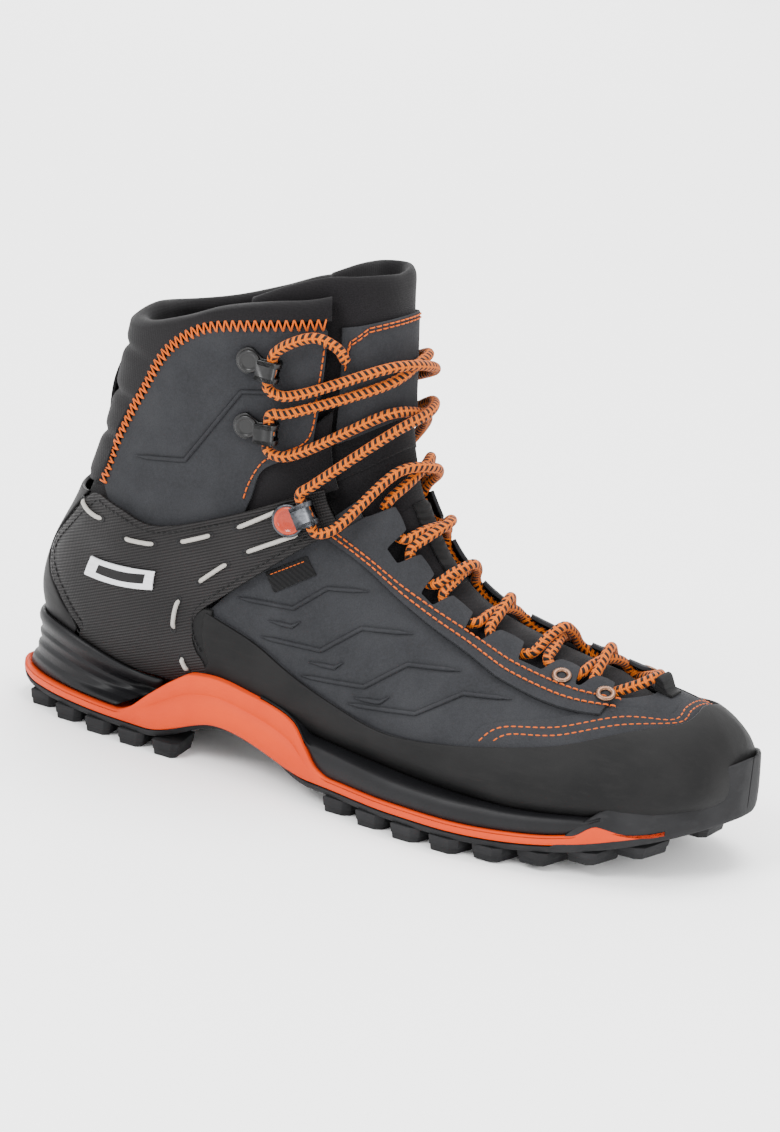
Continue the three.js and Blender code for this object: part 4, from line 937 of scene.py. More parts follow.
def throat_edge(rear, phi):
    return [On(rear, phi * PI), On(7.5, phi * PI), On(5.5, phi * PI), On(4.3, lerp(phi, 1, 0.12) * PI),
            On(3.75, lerp(phi, 1, 0.6) * PI), On(3.75, PI)]


def share(rows):
    """How far round from the back line (0) to the front line (1)."""
    return np.abs(rows[..., 1]) / PI


def side_view(rows):
    """x and z of each place, for patterns laid out from the side."""
    spot = last_point(rows[..., 0], rows[..., 1])
    return spot[..., 0], spot[..., 2]


def near_lines(rows, lines):
    """Distance in the side view from each place to the nearest of some polylines."""
    x, z = side_view(rows)
    best = np.full(x.shape, 1e3)
    for line in lines:
        for (ax, az), (bx, bz) in zip(line, line[1:]):
            dx, dz = bx - ax, bz - az
            t = np.clip(((x - ax) * dx + (z - az) * dz) / (dx * dx + dz * dz), 0, 1)
            best = np.minimum(best, np.hypot(x - ax - t * dx, z - az - t * dz))
    return best


def pressed(base, lines, width, depth, raised=0.0):
    """An offset with lines pressed into it and a raised lip beside them."""
    def at(rows):
        far = near_lines(rows, lines)
        lip = raised * np.exp(-((far - 1.7 * width) / width) ** 2)
        return base - depth * (1 - smooth(far / width)) + lip
    return at


VAMP_MARKS = [[(104, 67), (127, 68), (138, 77.5), (153, 79)],
              [(116, 55), (142, 56), (155, 66.5), (173, 67.5)],
              [(136, 45.5), (163, 48), (176, 58), (195, 59)], [(158, 41), (186, 44), (200, 53), (217, 54)],
              [(118, 61.5), (128, 61.5), (131, 64)], [(138, 51), (149, 51.5), (152, 54)],
              [(160, 43.5), (171, 44.5), (174, 47)]]
CUFF_MARKS = [[(55, 110), (77, 114), (98, 145), (116, 148)]]


def ridges(name, lines, height, radius, finish, slot, body="foot"):
    """Narrow welts along lines laid out from the side, on both sides of the boot."""
    meshes = []
    for flip in SIDES.values():
        for line in lines:
            places = []
            for (ax, az), (bx, bz) in zip(line, line[1:]):
                count = max(3, int(np.hypot(bx - ax, bz - az) / 1.6))
                places += [locate(lerp(ax, bx, f), lerp(az, bz, f))
                           for f in np.linspace(0, 1, count, endpoint=False)]
            places.append(locate(*line[-1]))
            path = on_last(flip(np.array(places)), height)
            thin = np.clip(np.minimum(np.arange(len(path)), np.arange(len(path))[::-1]) / 3.0, 0.25, 1)
            meshes.append(tube_mesh(path, radius * thin, 8))
    return piece(name, *joined(meshes), finish, slot, body)


foot_edges = [FOOT_BOTTOM, FOOT_MIDDLE, RAND_TOP, throat_edge(10.5, THROAT_PHI)]
rand_rows = through_toe(span([edge(p, 90) for p in foot_edges[:3]], 9))
panel("rand_skin", rand_rows, OVERLAY[0], OVERLAY[1], rand_rubber, "rand_rubber", replaces=["toe_rand"],
      round_edge=0.5)
vamp_rows = through_toe(span([edge(p, 230) for p in foot_edges[2:]], 54))
under_rand = through_toe(span([edge(p, 40) for p in foot_edges[:3]], 4))
panel("vamp_skin", vamp_rows, SUEDE[0], pressed(SUEDE[1], VAMP_MARKS, 1.7, 0.5, 0.2), suede, "suede",
      replaces=["vamp"])
ridges("vamp_welts", VAMP_MARKS, SUEDE[1] + 0.05, 0.75, suede, "suede")
rand_tail = span([edge([(78, 31), (78, 45), (79, 60)], 30), edge([(101, 31), (98, 45), (95, 60)], 30)], 12)
for name, flip in zip(("rand_tail", "rand_tail_inner"), SIDES.values()):
    panel(name, flip(rand_tail), 0.6, OVERLAY[1] - 0.5, rand_rubber, "rand_rubber", round_edge=0)
panel("vamp_below", under_rand, SUEDE[0], SUEDE[1] - 0.1, suede, "suede", round_edge=0)
panel("foot_lining_skin", through_toe(span([edge(p, 60) for p in foot_edges], 8))[:, 3:], LINING[0],
      LINING[1], mesh_lining, "mesh", replaces=["lining_foot"], round_edge=0)

STITCH_LINE = [(134, 95), (156, 82.5), (187, 66), (212, 57.5), (235, 53.5), (252, 53.5), (262, 55.5)]
TABS = [(9.9, 9.15), (8.6, 8.0), (7.5, 6.9), (6.4, 5.9), (5.35, 4.95), (4.7, 4.3)]


def eyestay_rows():
    """From the lower edge up to the tabs; each tab has rounded corners."""
    lower = edge(STITCH_LINE, 400)
    upper = []
    low_phi = THROAT_PHI + 0.01
    for high, low in TABS:
        ramp = np.linspace(0, 1, 7)
        upper += [(high + 0.1 - 0.16 * f, lerp(low_phi, TAB_PHI, smooth(f))) for f in ramp]
        upper += [(lerp(high - 0.08, low + 0.08, f), TAB_PHI + 0.004 * np.sin(PI * f)) for f in ramp[1:-1]]
        upper += [(low + 0.06 - 0.16 * f, lerp(TAB_PHI, low_phi, smooth(f))) for f in ramp]
    upper = np.array(upper) * np.array([1, PI])
    for k in range(1, len(upper)):
        upper[k, 0] = min(upper[k, 0], upper[k - 1, 0] - 0.004)
    near = lower[np.argmin(np.abs(lower[:, 0][None] - upper[:, 0][:, None]), axis=1)]
    start = np.column_stack([np.maximum(near[:, 0], upper[:, 0]), near[:, 1]])
    f = np.linspace(0, 1, 16)[None, :, None]
    return start[:, None] + (upper - start)[:, None] * f


def tab_swell(base):
    """The tabs stand a little proud where the lace runs under them."""
    def at(rows):
        return base + 0.9 * np.exp(-((share(rows) - 0.83) / 0.03) ** 2)
    return at


for side, flip in SIDES.items():
    rows = flip(eyestay_rows())
    panel(f"eyestay_skin_{side}", rows, tab_swell(OVERLAY[0] + 0.1), tab_swell(OVERLAY[1] - 0.3), suede,
          "suede", replaces=[f"eyestay_{side}"], round_edge=0.3)
    for k, drop in enumerate((2.1, 4.0)):
        line = [(x - (x < 200) * 0.4 * drop, z + drop * (1.15 if x < 240 else 0.9)) for x, z in STITCH_LINE]
        stitches(f"eyestay_thread_{side}_{k + 1}", flip(edge(line[:-1], 300)), OVERLAY[1] - 0.15,
                 orange_thread, "lace")
TOE_STITCHES = [[(213, 40.5), (219, 46), (238, 49), (256, 54), On(3.05, 0.82 * PI), On(3.05, 0.93 * PI),
                 On(3.05, PI)],
                [(218, 41.5), (223, 44.6), (239, 46.8), (256, 51.8), On(2.9, 0.82 * PI), On(2.9, 0.93 * PI),
                 On(2.9, PI)]]
for k, line in enumerate(TOE_STITCHES):
    stitches(f"toe_thread_{k + 1}", through_toe(edge(line, 160)), SUEDE[1] + 0.12, orange_thread, "lace")
# The toe overlay is a second suede layer with its edge at the toe stitching.
toe_top = [(210, 40), (214, 46.2), (236, 51.4), (254, 56.2), On(3.2, 0.84 * PI), On(3.2, 0.93 * PI),
           On(3.2, PI)]
toe_low = [(205, 36.5), (214, 38), (236, 42), (254, 47), On(2.7, 0.82 * PI), On(2.7, 0.93 * PI),
           On(2.7, PI)]
panel("toe_overlay", through_toe(span([edge(toe_low, 70), edge(toe_top, 70)], 8)), SUEDE[1] - 0.2,
      SUEDE[1] + 0.45, suede, "suede", round_edge=0.25)

# ---------------------------------------- upper: heel
SLING_REAR = [(38, 28), (36, 35), (35.5, 40), (26, 49), (21, 55), (18, 64), (27, 77), (38, 90)]
SLING_TOP = [(53, 89.5), (70, 87.5), (98, 98), (118, 108), (130, 114)]
SLING_FRONT = [(98, 30), (94, 39), (90, 44), (88, 50), (89.5, 58), (102, 69), (125, 89), (138, 100)]


def sling_lift(base):
    def at(rows):
        x, z = side_view(rows)
        return base + SLING_RISE * smooth((z - 58) / 22) * smooth((x - 36) / 20)
    return at


SLING_FOLD = [(38, 78), (60, 71), (84, 77), (116, 97)]


def sling_skin(rows):
    far = near_lines(rows, [SLING_FOLD])
    return sling_lift(OVERLAY[1])(rows) + 0.5 * np.exp(-(far / 6) ** 2)


CABLES = [[(32, 85), (45, 83)], [(57, 79.5), (69, 80.5)], [(80, 84), (91, 89)], [(101, 94), (117, 104.5)],
          [(106, 85), (124, 95)], [(89, 70), (99, 79)], [(81, 61), (80, 50)], [(84, 39.5), (86, 36)]]
sling_rows = span([edge(SLING_REAR + SLING_TOP, 90), edge(SLING_FRONT, 90)], 26)
SLING_SEAMS = {
    "top": [(41, 88.5), (53, 87), (70, 85), (98, 95.5), (118, 105.5), (129, 111.5)],
    "front": [(92.6, 43.7), (89.1, 48.2), (87.6, 53.2), (88.6, 59.7), (97.6, 68.2), (118.6, 86.7),
              (132.6, 99.2)],
    "rear": [(37, 37.5), (37.6, 41.5), (28.5, 50.5), (23.6, 56), (20.6, 64.3), (29, 75.8), (40, 88)]}


def sling_outer(rows):
    """Stitch lines sink into the sling."""
    far = near_lines(rows, list(SLING_SEAMS.values()))
    return sling_skin(rows) - 0.35 * np.exp(-(far / 0.9) ** 2)


CORD_RISE, CORD_DIP = 0.55, 1.5


def slot_mouth(end, ahead):
    """The bound oval hole where the sling's cord goes in; ahead is a place further along the cord."""
    def on_sling(place, above=0):
        return on_last(place[None], sling_skin(place[None]) + above)[0]
    spot = on_sling(end)
    out = on_sling(end, 1) - spot
    along = on_sling(ahead) - spot
    along /= np.linalg.norm(along)
    cross = np.cross(out, along)
    ring = np.array([along * np.cos(t) * 1.9 + cross * np.sin(t) * 1.35 for t in np.arange(16) * PI / 8])
    mouth = [spot + ring * size + out * rise for size,
             rise in ((1, -0.4), (1, 0.12), (0.68, 0.12), (0.6, -0.25))]
    return np.vstack(mouth), capped(4, 16)


for side, flip in SIDES.items():
    panel(f"sling_skin_{side}", flip(sling_rows), sling_lift(OVERLAY[0]), sling_outer, sling_weave,
          "sling_fabric", replaces=[f"sling_{side}"])
    for seam, line in SLING_SEAMS.items():
        places = flip(edge(line, 200))
        height = sling_skin(places) - 0.3
        stitches(f"sling_seam_{seam}_{side}", places, height, black_thread, "webbing", pitch=2.4,
                 radius=0.26)
    holes, cords = [], []
    for a, b in CABLES:
        places = flip(edge([a, b], 24))
        f = np.linspace(0, 1, 25)
        dip = CORD_DIP * (np.exp(-(f / 0.07) ** 2) + np.exp(-((1 - f) / 0.07) ** 2))
        cords.append(tube_mesh(on_last(places, sling_skin(places) + CORD_RISE - dip), CORD_RADIUS, 10))
        holes += [slot_mouth(places[0], places[3]), slot_mouth(places[-1], places[-4])]
    piece(f"cord_runs_{side}", *joined(cords), pale_cord, "cable", replaces=[f"cable_{side}"])
    piece(f"cord_slots_{side}", *joined(holes), black_foam, "black_foam")

BACKSTAY_EDGE = [(33, 34.5), (33.7, 39.5), (24.5, 48.5), (19, 55), (16.2, 64), (25, 77.5), (34, 89.5)]


def heel_wrap(edges, steps, count=60):
    return across_middle(span([edge(points, count) for points in edges], steps))


BACKSTAY_STEP = [(38, 37), (29, 48), (23.5, 56), (21, 64.5), (29, 77), (36, 86)]


def backstay_outer(rows):
    """A moulded step runs round the edge of the backstay."""
    return OVERLAY[1] - 0.7 + 0.7 * smooth((near_lines(rows, [BACKSTAY_STEP]) - 2.0) / 1.2)


panel("backstay_skin", heel_wrap([BACKSTAY_EDGE, [On(11.55, 0), On(14.4, 0)]], 16, 80), OVERLAY[0],
      backstay_outer, counter_rubber, "black_foam", replaces=["backstay"], round_edge=0.5)
for side, flip in SIDES.items():
    line = [(36.6, 36.2), (32.2, 42.5), (27, 47.6), (21.6, 54.5), (18.9, 62.5), (20.5, 67.5), (27.4, 78.2),
            (34.4, 87.5)]
    stitches(f"backstay_thread_{side}", flip(edge(line, 160)), OVERLAY[1] - 0.25, black_thread, "webbing",
             pitch=2.4, radius=0.24)
panel("heel_lining_skin", heel_wrap([[(78, 31), (78, 45), (78, 58), (68, 72), (48, 80)],
                                     [On(11, 0.2 * PI), On(13.8, 0.12 * PI)],
                                     [On(11.3, 0), On(14.1, 0)]], 8),
      LINING[0], LINING[1], mesh_lining, "mesh", replaces=["lining_heel"], round_edge=0)
# A stretch band behind the flex line closes the back between the heel and the collar.
back_band = heel_wrap([[(47, 76), (50, 90), (53, 104)], [On(13.6, 0), On(14.3, 0), On(15.1, 0)]], 14, 24)
flex_band = panel("back_flex_band", back_band, LINING[1] - 1.2, LINING[1] + 0.2, softshell, "softshell",
                  body=None, round_edge=0)
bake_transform(flex_band)


def across_flex(obj):
    """Bakes the placing of a piece that crosses from the foot to the cuff into its mesh."""
    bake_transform(obj)
    return obj


SEAM = [(40, 94), (46, 113), (56, 133), (66, 151), (76, 161), (86, 166.5), (105, 170.5), (125, 174.5)]
CUFF_LOW = [(46, 88), (70, 84), (97, 94), (103.5, 104), (107, 116), (116, 122), (123.5, 127), (125, 140),
            (126.5, 172)]
COLLAR_TOP = [(127, 185), (119, 182.5), (106, 180), (88, 175), (72, 168), (56, 162), (44, 159.5),
              On(18.1, 0)]
COLLAR_LOW = [(127.5, 176.5), (105, 172.5), (85, 168.5), (74, 162.5), (64, 152.5), (54, 134), (44, 113.5),
              (37.5, 95.5), On(14.65, 0)]
COLLAR_PADDING, COLLAR_PROUD = 4.6, 0.9
CUFF_STITCH = [(126, 171), (124.6, 149), (123.5, 135), (121, 129), (115, 125), (107.5, 120), (103.2, 112),
               (101.2, 104)]

cuff_rows = span([edge(SEAM, 150), edge(CUFF_LOW, 150)], 66)
for side, flip in SIDES.items():
    panel(f"cuff_skin_{side}", flip(cuff_rows), SUEDE[0], pressed(SUEDE[1], CUFF_MARKS, 1.7, 0.5, 0.2),
          suede, "suede", body="cuff", replaces=[f"cuff_{side}"])
    zigzag = flip(edge([(39.2, 94.5), (45.2, 114), (55, 134), (65, 152), (75.4, 162), (86, 167.6),
                        (105, 171.7), (126, 175.2)], 400))
    stitches(f"collar_zigzag_{side}", zigzag, SUEDE[1] + 0.45, orange_thread, "lace", "cuff", pitch=1.45,
             radius=0.36, zigzag=4.6)
    stitches(f"cuff_front_thread_{side}", flip(edge(CUFF_STITCH, 200)), SUEDE[1] + 0.12, orange_thread,
             "lace", "cuff", pitch=2.6, radius=0.3)
    lining_top = [(47, 106), (56, 125), (66, 142), (76, 153), (88, 159), (104, 162.5), (120, 165)]
    lining_low = [(45, 93), (70, 90), (96, 100), (104, 116), (117, 126), (121, 140), (121, 160)]
    panel(f"cuff_lining_skin_{side}", flip(span([edge(lining_top, 40), edge(lining_low, 40)], 12)),
          LINING[0], LINING[1], mesh_lining, "mesh", "cuff", [f"cuff_lining_{side}"], round_edge=0)
ridges("cuff_welts", CUFF_MARKS, SUEDE[1] + 0.05, 0.75, suede, "suede", "cuff")
QUILT_LINES = (112, 129, 147)


def rolled_steps(height, half, outside, inside, bend):
    """Shares of the height and depths: up the outside, over a round edge, down the inside."""
    flat = 1 - half / height
    steps = [(f * flat, 0.0, f) for f in np.linspace(0, 1, outside)]
    for a in np.linspace(0, PI, bend)[1:-1]:
        steps.append((flat + np.sin(a) * half / height, half - half * np.cos(a), None))
    return steps + [(f * flat, 2 * half, None) for f in np.linspace(1, 0, inside)]


def rolled_pad(name, rings, node):
    """A padded band made of rings of points, closed along both long edges and at both ends."""
    rings = np.array(rings)
    count, size = rings.shape[:2]
    last = (count - 1) * size
    faces = grid_faces(count, size).tolist() + [[k, k + 1, last + k + 1, last + k] for k in range(size - 1)]
    faces += [[k * size for k in range(count)], [k * size + size - 1 for k in range(count)][::-1]]
    pad = piece(name, rings.reshape(-1, 3), faces, softshell, "softshell", "cuff", [node])


def make_collar():
    """The padded collar; quilting lines cross its back."""
    low, top = (through_toe(edge(line, 120)) for line in (COLLAR_LOW, COLLAR_TOP))
    height = np.linalg.norm(on_last(top) - on_last(low), axis=1)
    face = SUEDE[1] + COLLAR_PROUD
    rings = []
    for part, depth, f in rolled_steps(height, (face + COLLAR_PADDING) / 2, 44, 22, 13):
        places = low + (top - low) * part[:, None]
        offset = np.full(len(places), face - depth)
        if f is not None:
            x, _, z = last_point(places[:, 0], places[:, 1]).T
            back = smooth((62 - x) / 22)
            quilt = sum(np.exp(-((z - line - 0.05 * (x - 40)) / 2.2) ** 2) for line in QUILT_LINES)
            offset += 0.7 * back - 1.7 * back * quilt - 1.2 * np.exp(-(f * height / 2.2) ** 2)
        rings.append(on_last(places, offset))
    rolled_pad("collar_pad", rings, "collar")


make_collar()
PULL_LOW, PULL_HIGH = 15.55, 16.95
pull_rows = across_middle(np.array([[[u, f * PI] for f in (0.075, 0.05, 0.025, 0)]
                                    for u in np.linspace(PULL_LOW, PULL_HIGH, 26)]))


def pull_loop(rows):
    """The strap stands off the collar in the middle of its length."""
    return SUEDE[1] + 1.3 + 1.9 * np.sin(PI * (rows[..., 0] - PULL_LOW) / (PULL_HIGH - PULL_LOW))


def shifted(top, by):
    return lambda rows: top(rows) + by


panel("pull_tab_skin", pull_rows, shifted(pull_loop, -1.3), pull_loop, webbing, "webbing", "cuff",
      ["pull_tab"], round_edge=0.3)

# ---------------------------------------- tongue
def lower_tongue_top(rows):
    return -3.8 + 3.1 * smooth((share(rows) - 0.8) / 0.1) * smooth((rows[..., 0] - 3.95) / 0.7)


def upper_tongue_top(rows):
    return -5.3 + 4 * smooth((share(rows) - 0.72) / 0.1)


def flex_tongue_top(rows):
    return lerp(lower_tongue_top(rows), upper_tongue_top(rows), smooth((rows[..., 0] - 9.4) / 2))


def tongue_rows(levels, low, columns):
    phi = np.linspace(low, 1, columns + 1) * PI
    return across_middle(np.stack(np.meshgrid(levels, phi, indexing="ij"), -1))


panel("tongue_lower_skin", tongue_rows(np.linspace(3.6, 9.6, 90), 0.69, 14), shifted(lower_tongue_top, -4),
      lower_tongue_top, softshell, "softshell", replaces=["tongue_lower"], round_edge=1.0)
TONGUE_PADDING = 4.8
TONGUE_TOP = [(97, 178.5), (113, 186), (130, 191.5), On(18.35, PI)]


def make_tongue_upper():
    """The padded tongue with a rolled top edge."""
    top = edge(TONGUE_TOP, 26)
    base = np.column_stack([np.full(len(top), 11.3), np.maximum(top[:, 1], 0.62 * PI)])
    columns = across_middle(span([base, top], 60).transpose(1, 0, 2)).transpose(1, 0, 2)
    low, high = columns[:, 0], columns[:, -1]
    height = np.linalg.norm(on_last(high) - on_last(low), axis=1)
    rings = []
    for part, depth, _ in rolled_steps(height, TONGUE_PADDING / 2, 61, 31, 11):
        places = low + (high - low) * part[:, None]
        rings.append(on_last(places, upper_tongue_top(places) - depth))
    rolled_pad("tongue_pad", rings, "tongue_upper")


make_tongue_upper()
shield_rows = tongue_rows(np.linspace(12.5, 17.0, 60), 0.765, 16)
panel("tongue_shield_skin", shield_rows, shifted(upper_tongue_top, 0.4), shifted(upper_tongue_top, 1.7),
      suede, "suede", "cuff", ["tongue_shield"], round_edge=0.5)
SHIELD_TOP = [[u, phi * PI] for u, phi in ((15.4, 0.775), (16.4, 0.785), (16.86, 0.84), (16.88, 0.92),
                                           (16.88, 1.0))]
for k, drop in enumerate((0.0, 0.16)):
    line = through_toe(respace(np.array([[u - drop, phi] for u, phi in SHIELD_TOP]), 80))
    stitches(f"shield_thread_{k + 1}", line, upper_tongue_top(line) + 1.85, orange_thread, "lace", "cuff",
             pitch=2.6, radius=0.28)
across_flex(panel("tongue_flex_skin", tongue_rows(np.linspace(9.2, 12.0, 40), 0.72, 12),
                  shifted(flex_tongue_top, -3.2), shifted(flex_tongue_top, -0.4), softshell, "softshell",
                  body=None, replaces=["tongue_flex"], round_edge=0))
# A softshell web fills the notch in the cuff's front corner, behind the sling.
gusset_rows = span([edge([(101, 96), (112, 101), (124, 108), (134, 113)], 24),
                    edge([(101, 121), (112, 127), (122, 134), (130, 142)], 24)], 16)
for side, flip in SIDES.items():
    across_flex(panel(f"gusset_skin_{side}", flip(gusset_rows), -2.6, -0.3, softshell, "softshell",
                      body=None, replaces=[f"flex_gusset_{side}"], round_edge=0))
KEEPER_LEVELS = np.linspace(7.6, 9.6, 50)


def keeper_top(rows):
    """The lace keeper lies on the tongue and dips in at both ends, where it is sewn down."""
    ends = np.minimum(rows[..., 0] - KEEPER_LEVELS[0], KEEPER_LEVELS[-1] - rows[..., 0])
    return lower_tongue_top(rows) + 1.15 - 0.7 * (1 - smooth(ends / 0.12))


panel("tongue_keeper_strip", tongue_rows(KEEPER_LEVELS, 0.945, 4), shifted(keeper_top, -0.9), keeper_top,
      webbing, "webbing", replaces=["tongue_keeper"], round_edge=0.25)
toe_keeper = tongue_rows(np.linspace(3.42, 3.78, 14), 0.95, 4)
panel("toe_keeper_strip", toe_keeper, SUEDE[1] + 0.2,
      lambda rows: SUEDE[1] + 1.2 + 4.6 * smooth((rows[..., 0] - 3.5) / 0.24), webbing, "webbing",
      round_edge=0.3)

# ---------------------------------------- fittings
HOOK_BASE, LOCK_BASE = SUEDE[1] + 0.8, OVERLAY[1] + SLING_RISE + 0.9
Fitting = namedtuple("Fitting", "spot toward base width back front")
FITTINGS = {"hook_1": Fitting((101, 158), (112, 156.5), HOOK_BASE, 8, 4.6, 9.5),
            "hook_2": Fitting((101, 133), (112, 133), HOOK_BASE, 8, 4.6, 9.5),
            "lock": Fitting((120, 100.5), (130, 106.5), LOCK_BASE, 9, 4.8, 8.5)}
HOOK_RAIL, HOOK_REACH = 2.1, 5
# rivets: radius and depth of the dish; eyelet: radius, hole and height
LOCK_RIVET, HOOK_RIVET = (5.4, 1.0), (4.4, 0.4)
LOCK_RIVET_TALLER = 1.15
EYELET = (3.7, 1.7, 1.3)


def frame_at(place, offset, forward):
    """Origin and axes of a fitting: z out of the boot, x towards another place."""
    place, forward = np.asarray(place, float)[None], np.asarray(forward, float)[None]
    origin = on_last(place, np.array([offset]))[0]
    z = on_last(place, np.array([offset + 1.0]))[0] - origin
    z /= np.linalg.norm(z)
    x = on_last(forward, np.array([offset]))[0] - origin
    x -= z * np.dot(x, z)
    x /= np.linalg.norm(x)
    return origin, np.stack([x, np.cross(z, x), z])


def fitting_frame(name, flip):
    fitting = FITTINGS[name]
    return frame_at(flip(np.array(locate(*fitting.spot))), fitting.base,
                    flip(np.array(locate(*fitting.toward))))


def placed(points, at):
    origin, axes = at
    return origin + np.asarray(points, float) @ axes


def turned(profile, facets):
    """A lathe round the z axis from (radius, height) points, closed on the axis or into a ring."""
    a = np.arange(facets) * 2 * PI / facets
    rings = [np.column_stack([r * np.cos(a), r * np.sin(a), np.full(facets, h)]) for r, h in profile]
    return np.vstack(rings), ring_faces(len(rings), facets, closed=profile[0][0] > 0)


def plate_outline(width, back, front):
    """Hook base plate: round behind the rivet, narrow waist, square at the hook."""
    a = np.linspace(PI / 2, 3 * PI / 2, 15)
    left = [(back * 1.12 * np.cos(t), back * 1.12 * np.sin(t)) for t in a]
    w = width / 2
    return np.array(left + [(4.6, -w * 0.62), (6.2, -w * 0.66), (front - 1.5, -w), (front, -w), (front, w),
                            (front - 1.5, w), (6.2, w * 0.66), (4.6, w * 0.62)])


def hook_mesh(width, back, front):
    """Base plate, round bend and return arm with a window in it, all of one strip."""
    t, rise, half = HOOK_THICKNESS, HOOK_RISE, width / 2
    plan = plate_outline(width, back, front)
    meshes = [(np.vstack([np.column_stack([plan, np.full(len(plan), z)]) for z in (0, t)]),
               capped(2, len(plan)))]
    turn = np.linspace(-PI / 2, PI / 2, 15)
    outer, inner = ([(front + r * np.cos(a), rise / 2 + r * np.sin(a)) for a in turn]
                    + [(front - HOOK_REACH, end)]
                    for r, end in ((rise / 2, rise), (rise / 2 - t, rise - t)))
    # two rails run all the way round, with a bridge at the arm's end and one at the foot of the bend
    for y0, y1, first, last in ((-half, -half + HOOK_RAIL, 0, 16), (half - HOOK_RAIL, half, 0, 16),
                                (-half, half, 11, 16), (-half, half, 0, 4)):
        rings = np.array([[(ox, y0, oz), (ox, y1, oz), (ix, y1, iz), (ix, y0, iz)]
                          for (ox, oz), (ix, iz) in zip(outer[first:last], inner[first:last])])
        meshes.append((rings.reshape(-1, 3), capped(len(rings), 4)))
    return joined(meshes)


def eyelet_mesh(radius, hole, height):
    """A rolled ring, round in section."""
    middle, roll = (radius + hole) / 2, (radius - hole) / 2
    a = np.arange(14) * 2 * PI / 14
    return turned([(middle + roll * np.cos(t), height * (0.5 + 0.5 * np.sin(t))) for t in a], 40)


def rivet_mesh(radius, dish):
    """A raised ring round a shallow dished head."""
    profile = [(0, 1.9 - 0.2 * dish), (radius * 0.32, 1.9 - 0.2 * dish), (radius * 0.52, 1.75 + 0.2 * dish),
               (radius * 0.6, 1.6 + 0.3 * dish), (radius * 0.7, 2.0 + 0.35 * dish),
               (radius * 0.82, 2.3 + 0.3 * dish), (radius * 0.94, 2.1 + 0.2 * dish), (radius, 1.75),
               (radius, 1.5), (1.9, 1.45), (1.9, -0.5), (0, -0.5)]
    return turned(profile, 40)


badge_rows = span([edge([(39, 60.5), (56, 60.5), (70, 62.5)], 50),
                   edge([(42, 68.5), (57, 69), (71, 70.5)], 50)], 14)
field_rows = span([edge([(44.5, 62.8), (56, 62.7), (66, 64.2)], 40),
                   edge([(46, 66.4), (57, 66.8), (67, 68.4)], 40)], 8)
for side, flip in SIDES.items():
    for name, fitting in FITTINGS.items():
        at = fitting_frame(name, flip)
        lock = name == "lock"
        end = side if lock else f"{side}_{name[-1]}"
        body = f"lock_hook_{side}" if lock else "cuff"
        points, faces = hook_mesh(fitting.width, fitting.back, fitting.front)
        hook = piece(f"{name}_bent_{side}", placed(points, at), faces, dark_chrome if lock else black_metal,
                     "black_metal", body, [f"lock_hook_{end}" if lock else f"hook_{end}"], flat=True)
        soften(hook, 0.28)
        hook.data.shade_smooth()
        points, faces = rivet_mesh(*LOCK_RIVET) if lock else rivet_mesh(*HOOK_RIVET)
        if lock:
            points = points * np.array([1, 1, LOCK_RIVET_TALLER])
        piece(f"{name}_rivet_head_{side}", placed(points, at), faces,
              orange_enamel if lock else black_metal, "orange_rivet" if lock else "black_metal",
              "foot" if lock else "cuff", [f"lock_rivet_{end}" if lock else f"hook_rivet_{end}"])
        if lock:
            points, faces = turned([(4.9, 1.4), (6.1, 1.4), (6.3, 1.9), (5.9, 2.4), (5.3, 2.5), (4.9, 2.2)],
                                   40)
            piece(f"lock_collar_ring_{side}", placed(points, at), faces, dark_chrome, "black_metal", body)
    for n, u in ((1, 5.12), (2, 4.32)):
        at = frame_at(flip(np.array([u, 0.79 * PI])), OVERLAY[1] - 0.2,
                      flip(np.array([u - 0.5, 0.79 * PI])))
        points, faces = eyelet_mesh(*EYELET)
        piece(f"eyelet_ring_{side}_{n}", placed(points, at), faces, gunmetal, "black_metal",
              replaces=[f"eyelet_{side}_{n}"])
    panel(f"badge_plate_{side}", flip(badge_rows), shifted(sling_skin, 0.05), shifted(sling_skin, 1.0),
          silver_plate, "silver", replaces=[f"badge_{side}"], round_edge=0.4)
    panel(f"badge_field_{side}", flip(field_rows), shifted(sling_skin, 0.6), shifted(sling_skin, 1.12),
          counter_rubber, "black_foam", round_edge=0.2)
tag_rows = span([edge([(113.5, 78.5), (128, 87.5)], 30), edge([(118.5, 72), (133, 81.5)], 30)], 12)
panel("tag_label", tag_rows, SUEDE[1] + 0.15, SUEDE[1] + 0.75, webbing, "webbing", replaces=["tag"],
      round_edge=0.2)
stitches("tag_border_thread", edge([(115.5, 78.1), (127.5, 85.4)], 30), SUEDE[1] + 0.8, orange_thread,
         "lace", pitch=1.6, radius=0.16)


# ---------------------------------------- lace
# how high the two crossing runs lie over the tongue, and the distance between a cord's rings
OVER, UNDER = 7.6, 3.05
RING_PITCH = 0.42
NOTCHES = [(TABS[k][1] + TABS[k + 1][0]) / 2 for k in range(len(TABS) - 1)]


def tunnel(high, low):
    return [(low + 0.13, 0.828, -0.35), ((high + low) / 2, 0.83, -0.45), (high - 0.13, 0.828, -0.35)]


def half_lace(height):
    """From the lowest eyelet up to the top tab, crossing the tongue at every notch."""
    points, near = [], True

    def go(places):
        points.extend((u, f if near else 2 - f, h) for u, f, h in places)
    go([(4.05, 0.9, 2.8)])
    for k in range(5, 0, -1):
        go(tunnel(*TABS[k]))
        u, spread, middle = NOTCHES[k - 1], 0.13, (height + 1.4) / 2 + 0.4
        go([(u - spread, 0.85, 1.6), (u - spread * 0.55, 0.92, middle)])
        points.append((u, 1, height))
        near = not near
        go([(u + spread * 0.55, 0.92, middle), (u + spread, 0.85, 1.6)])
    go(tunnel(*TABS[0]))
    return points


def as_path(points, flip):
    return [on_last(flip(np.array([u, (f - 2 if f > 1 else f) * PI])), h) for u, f, h in points]


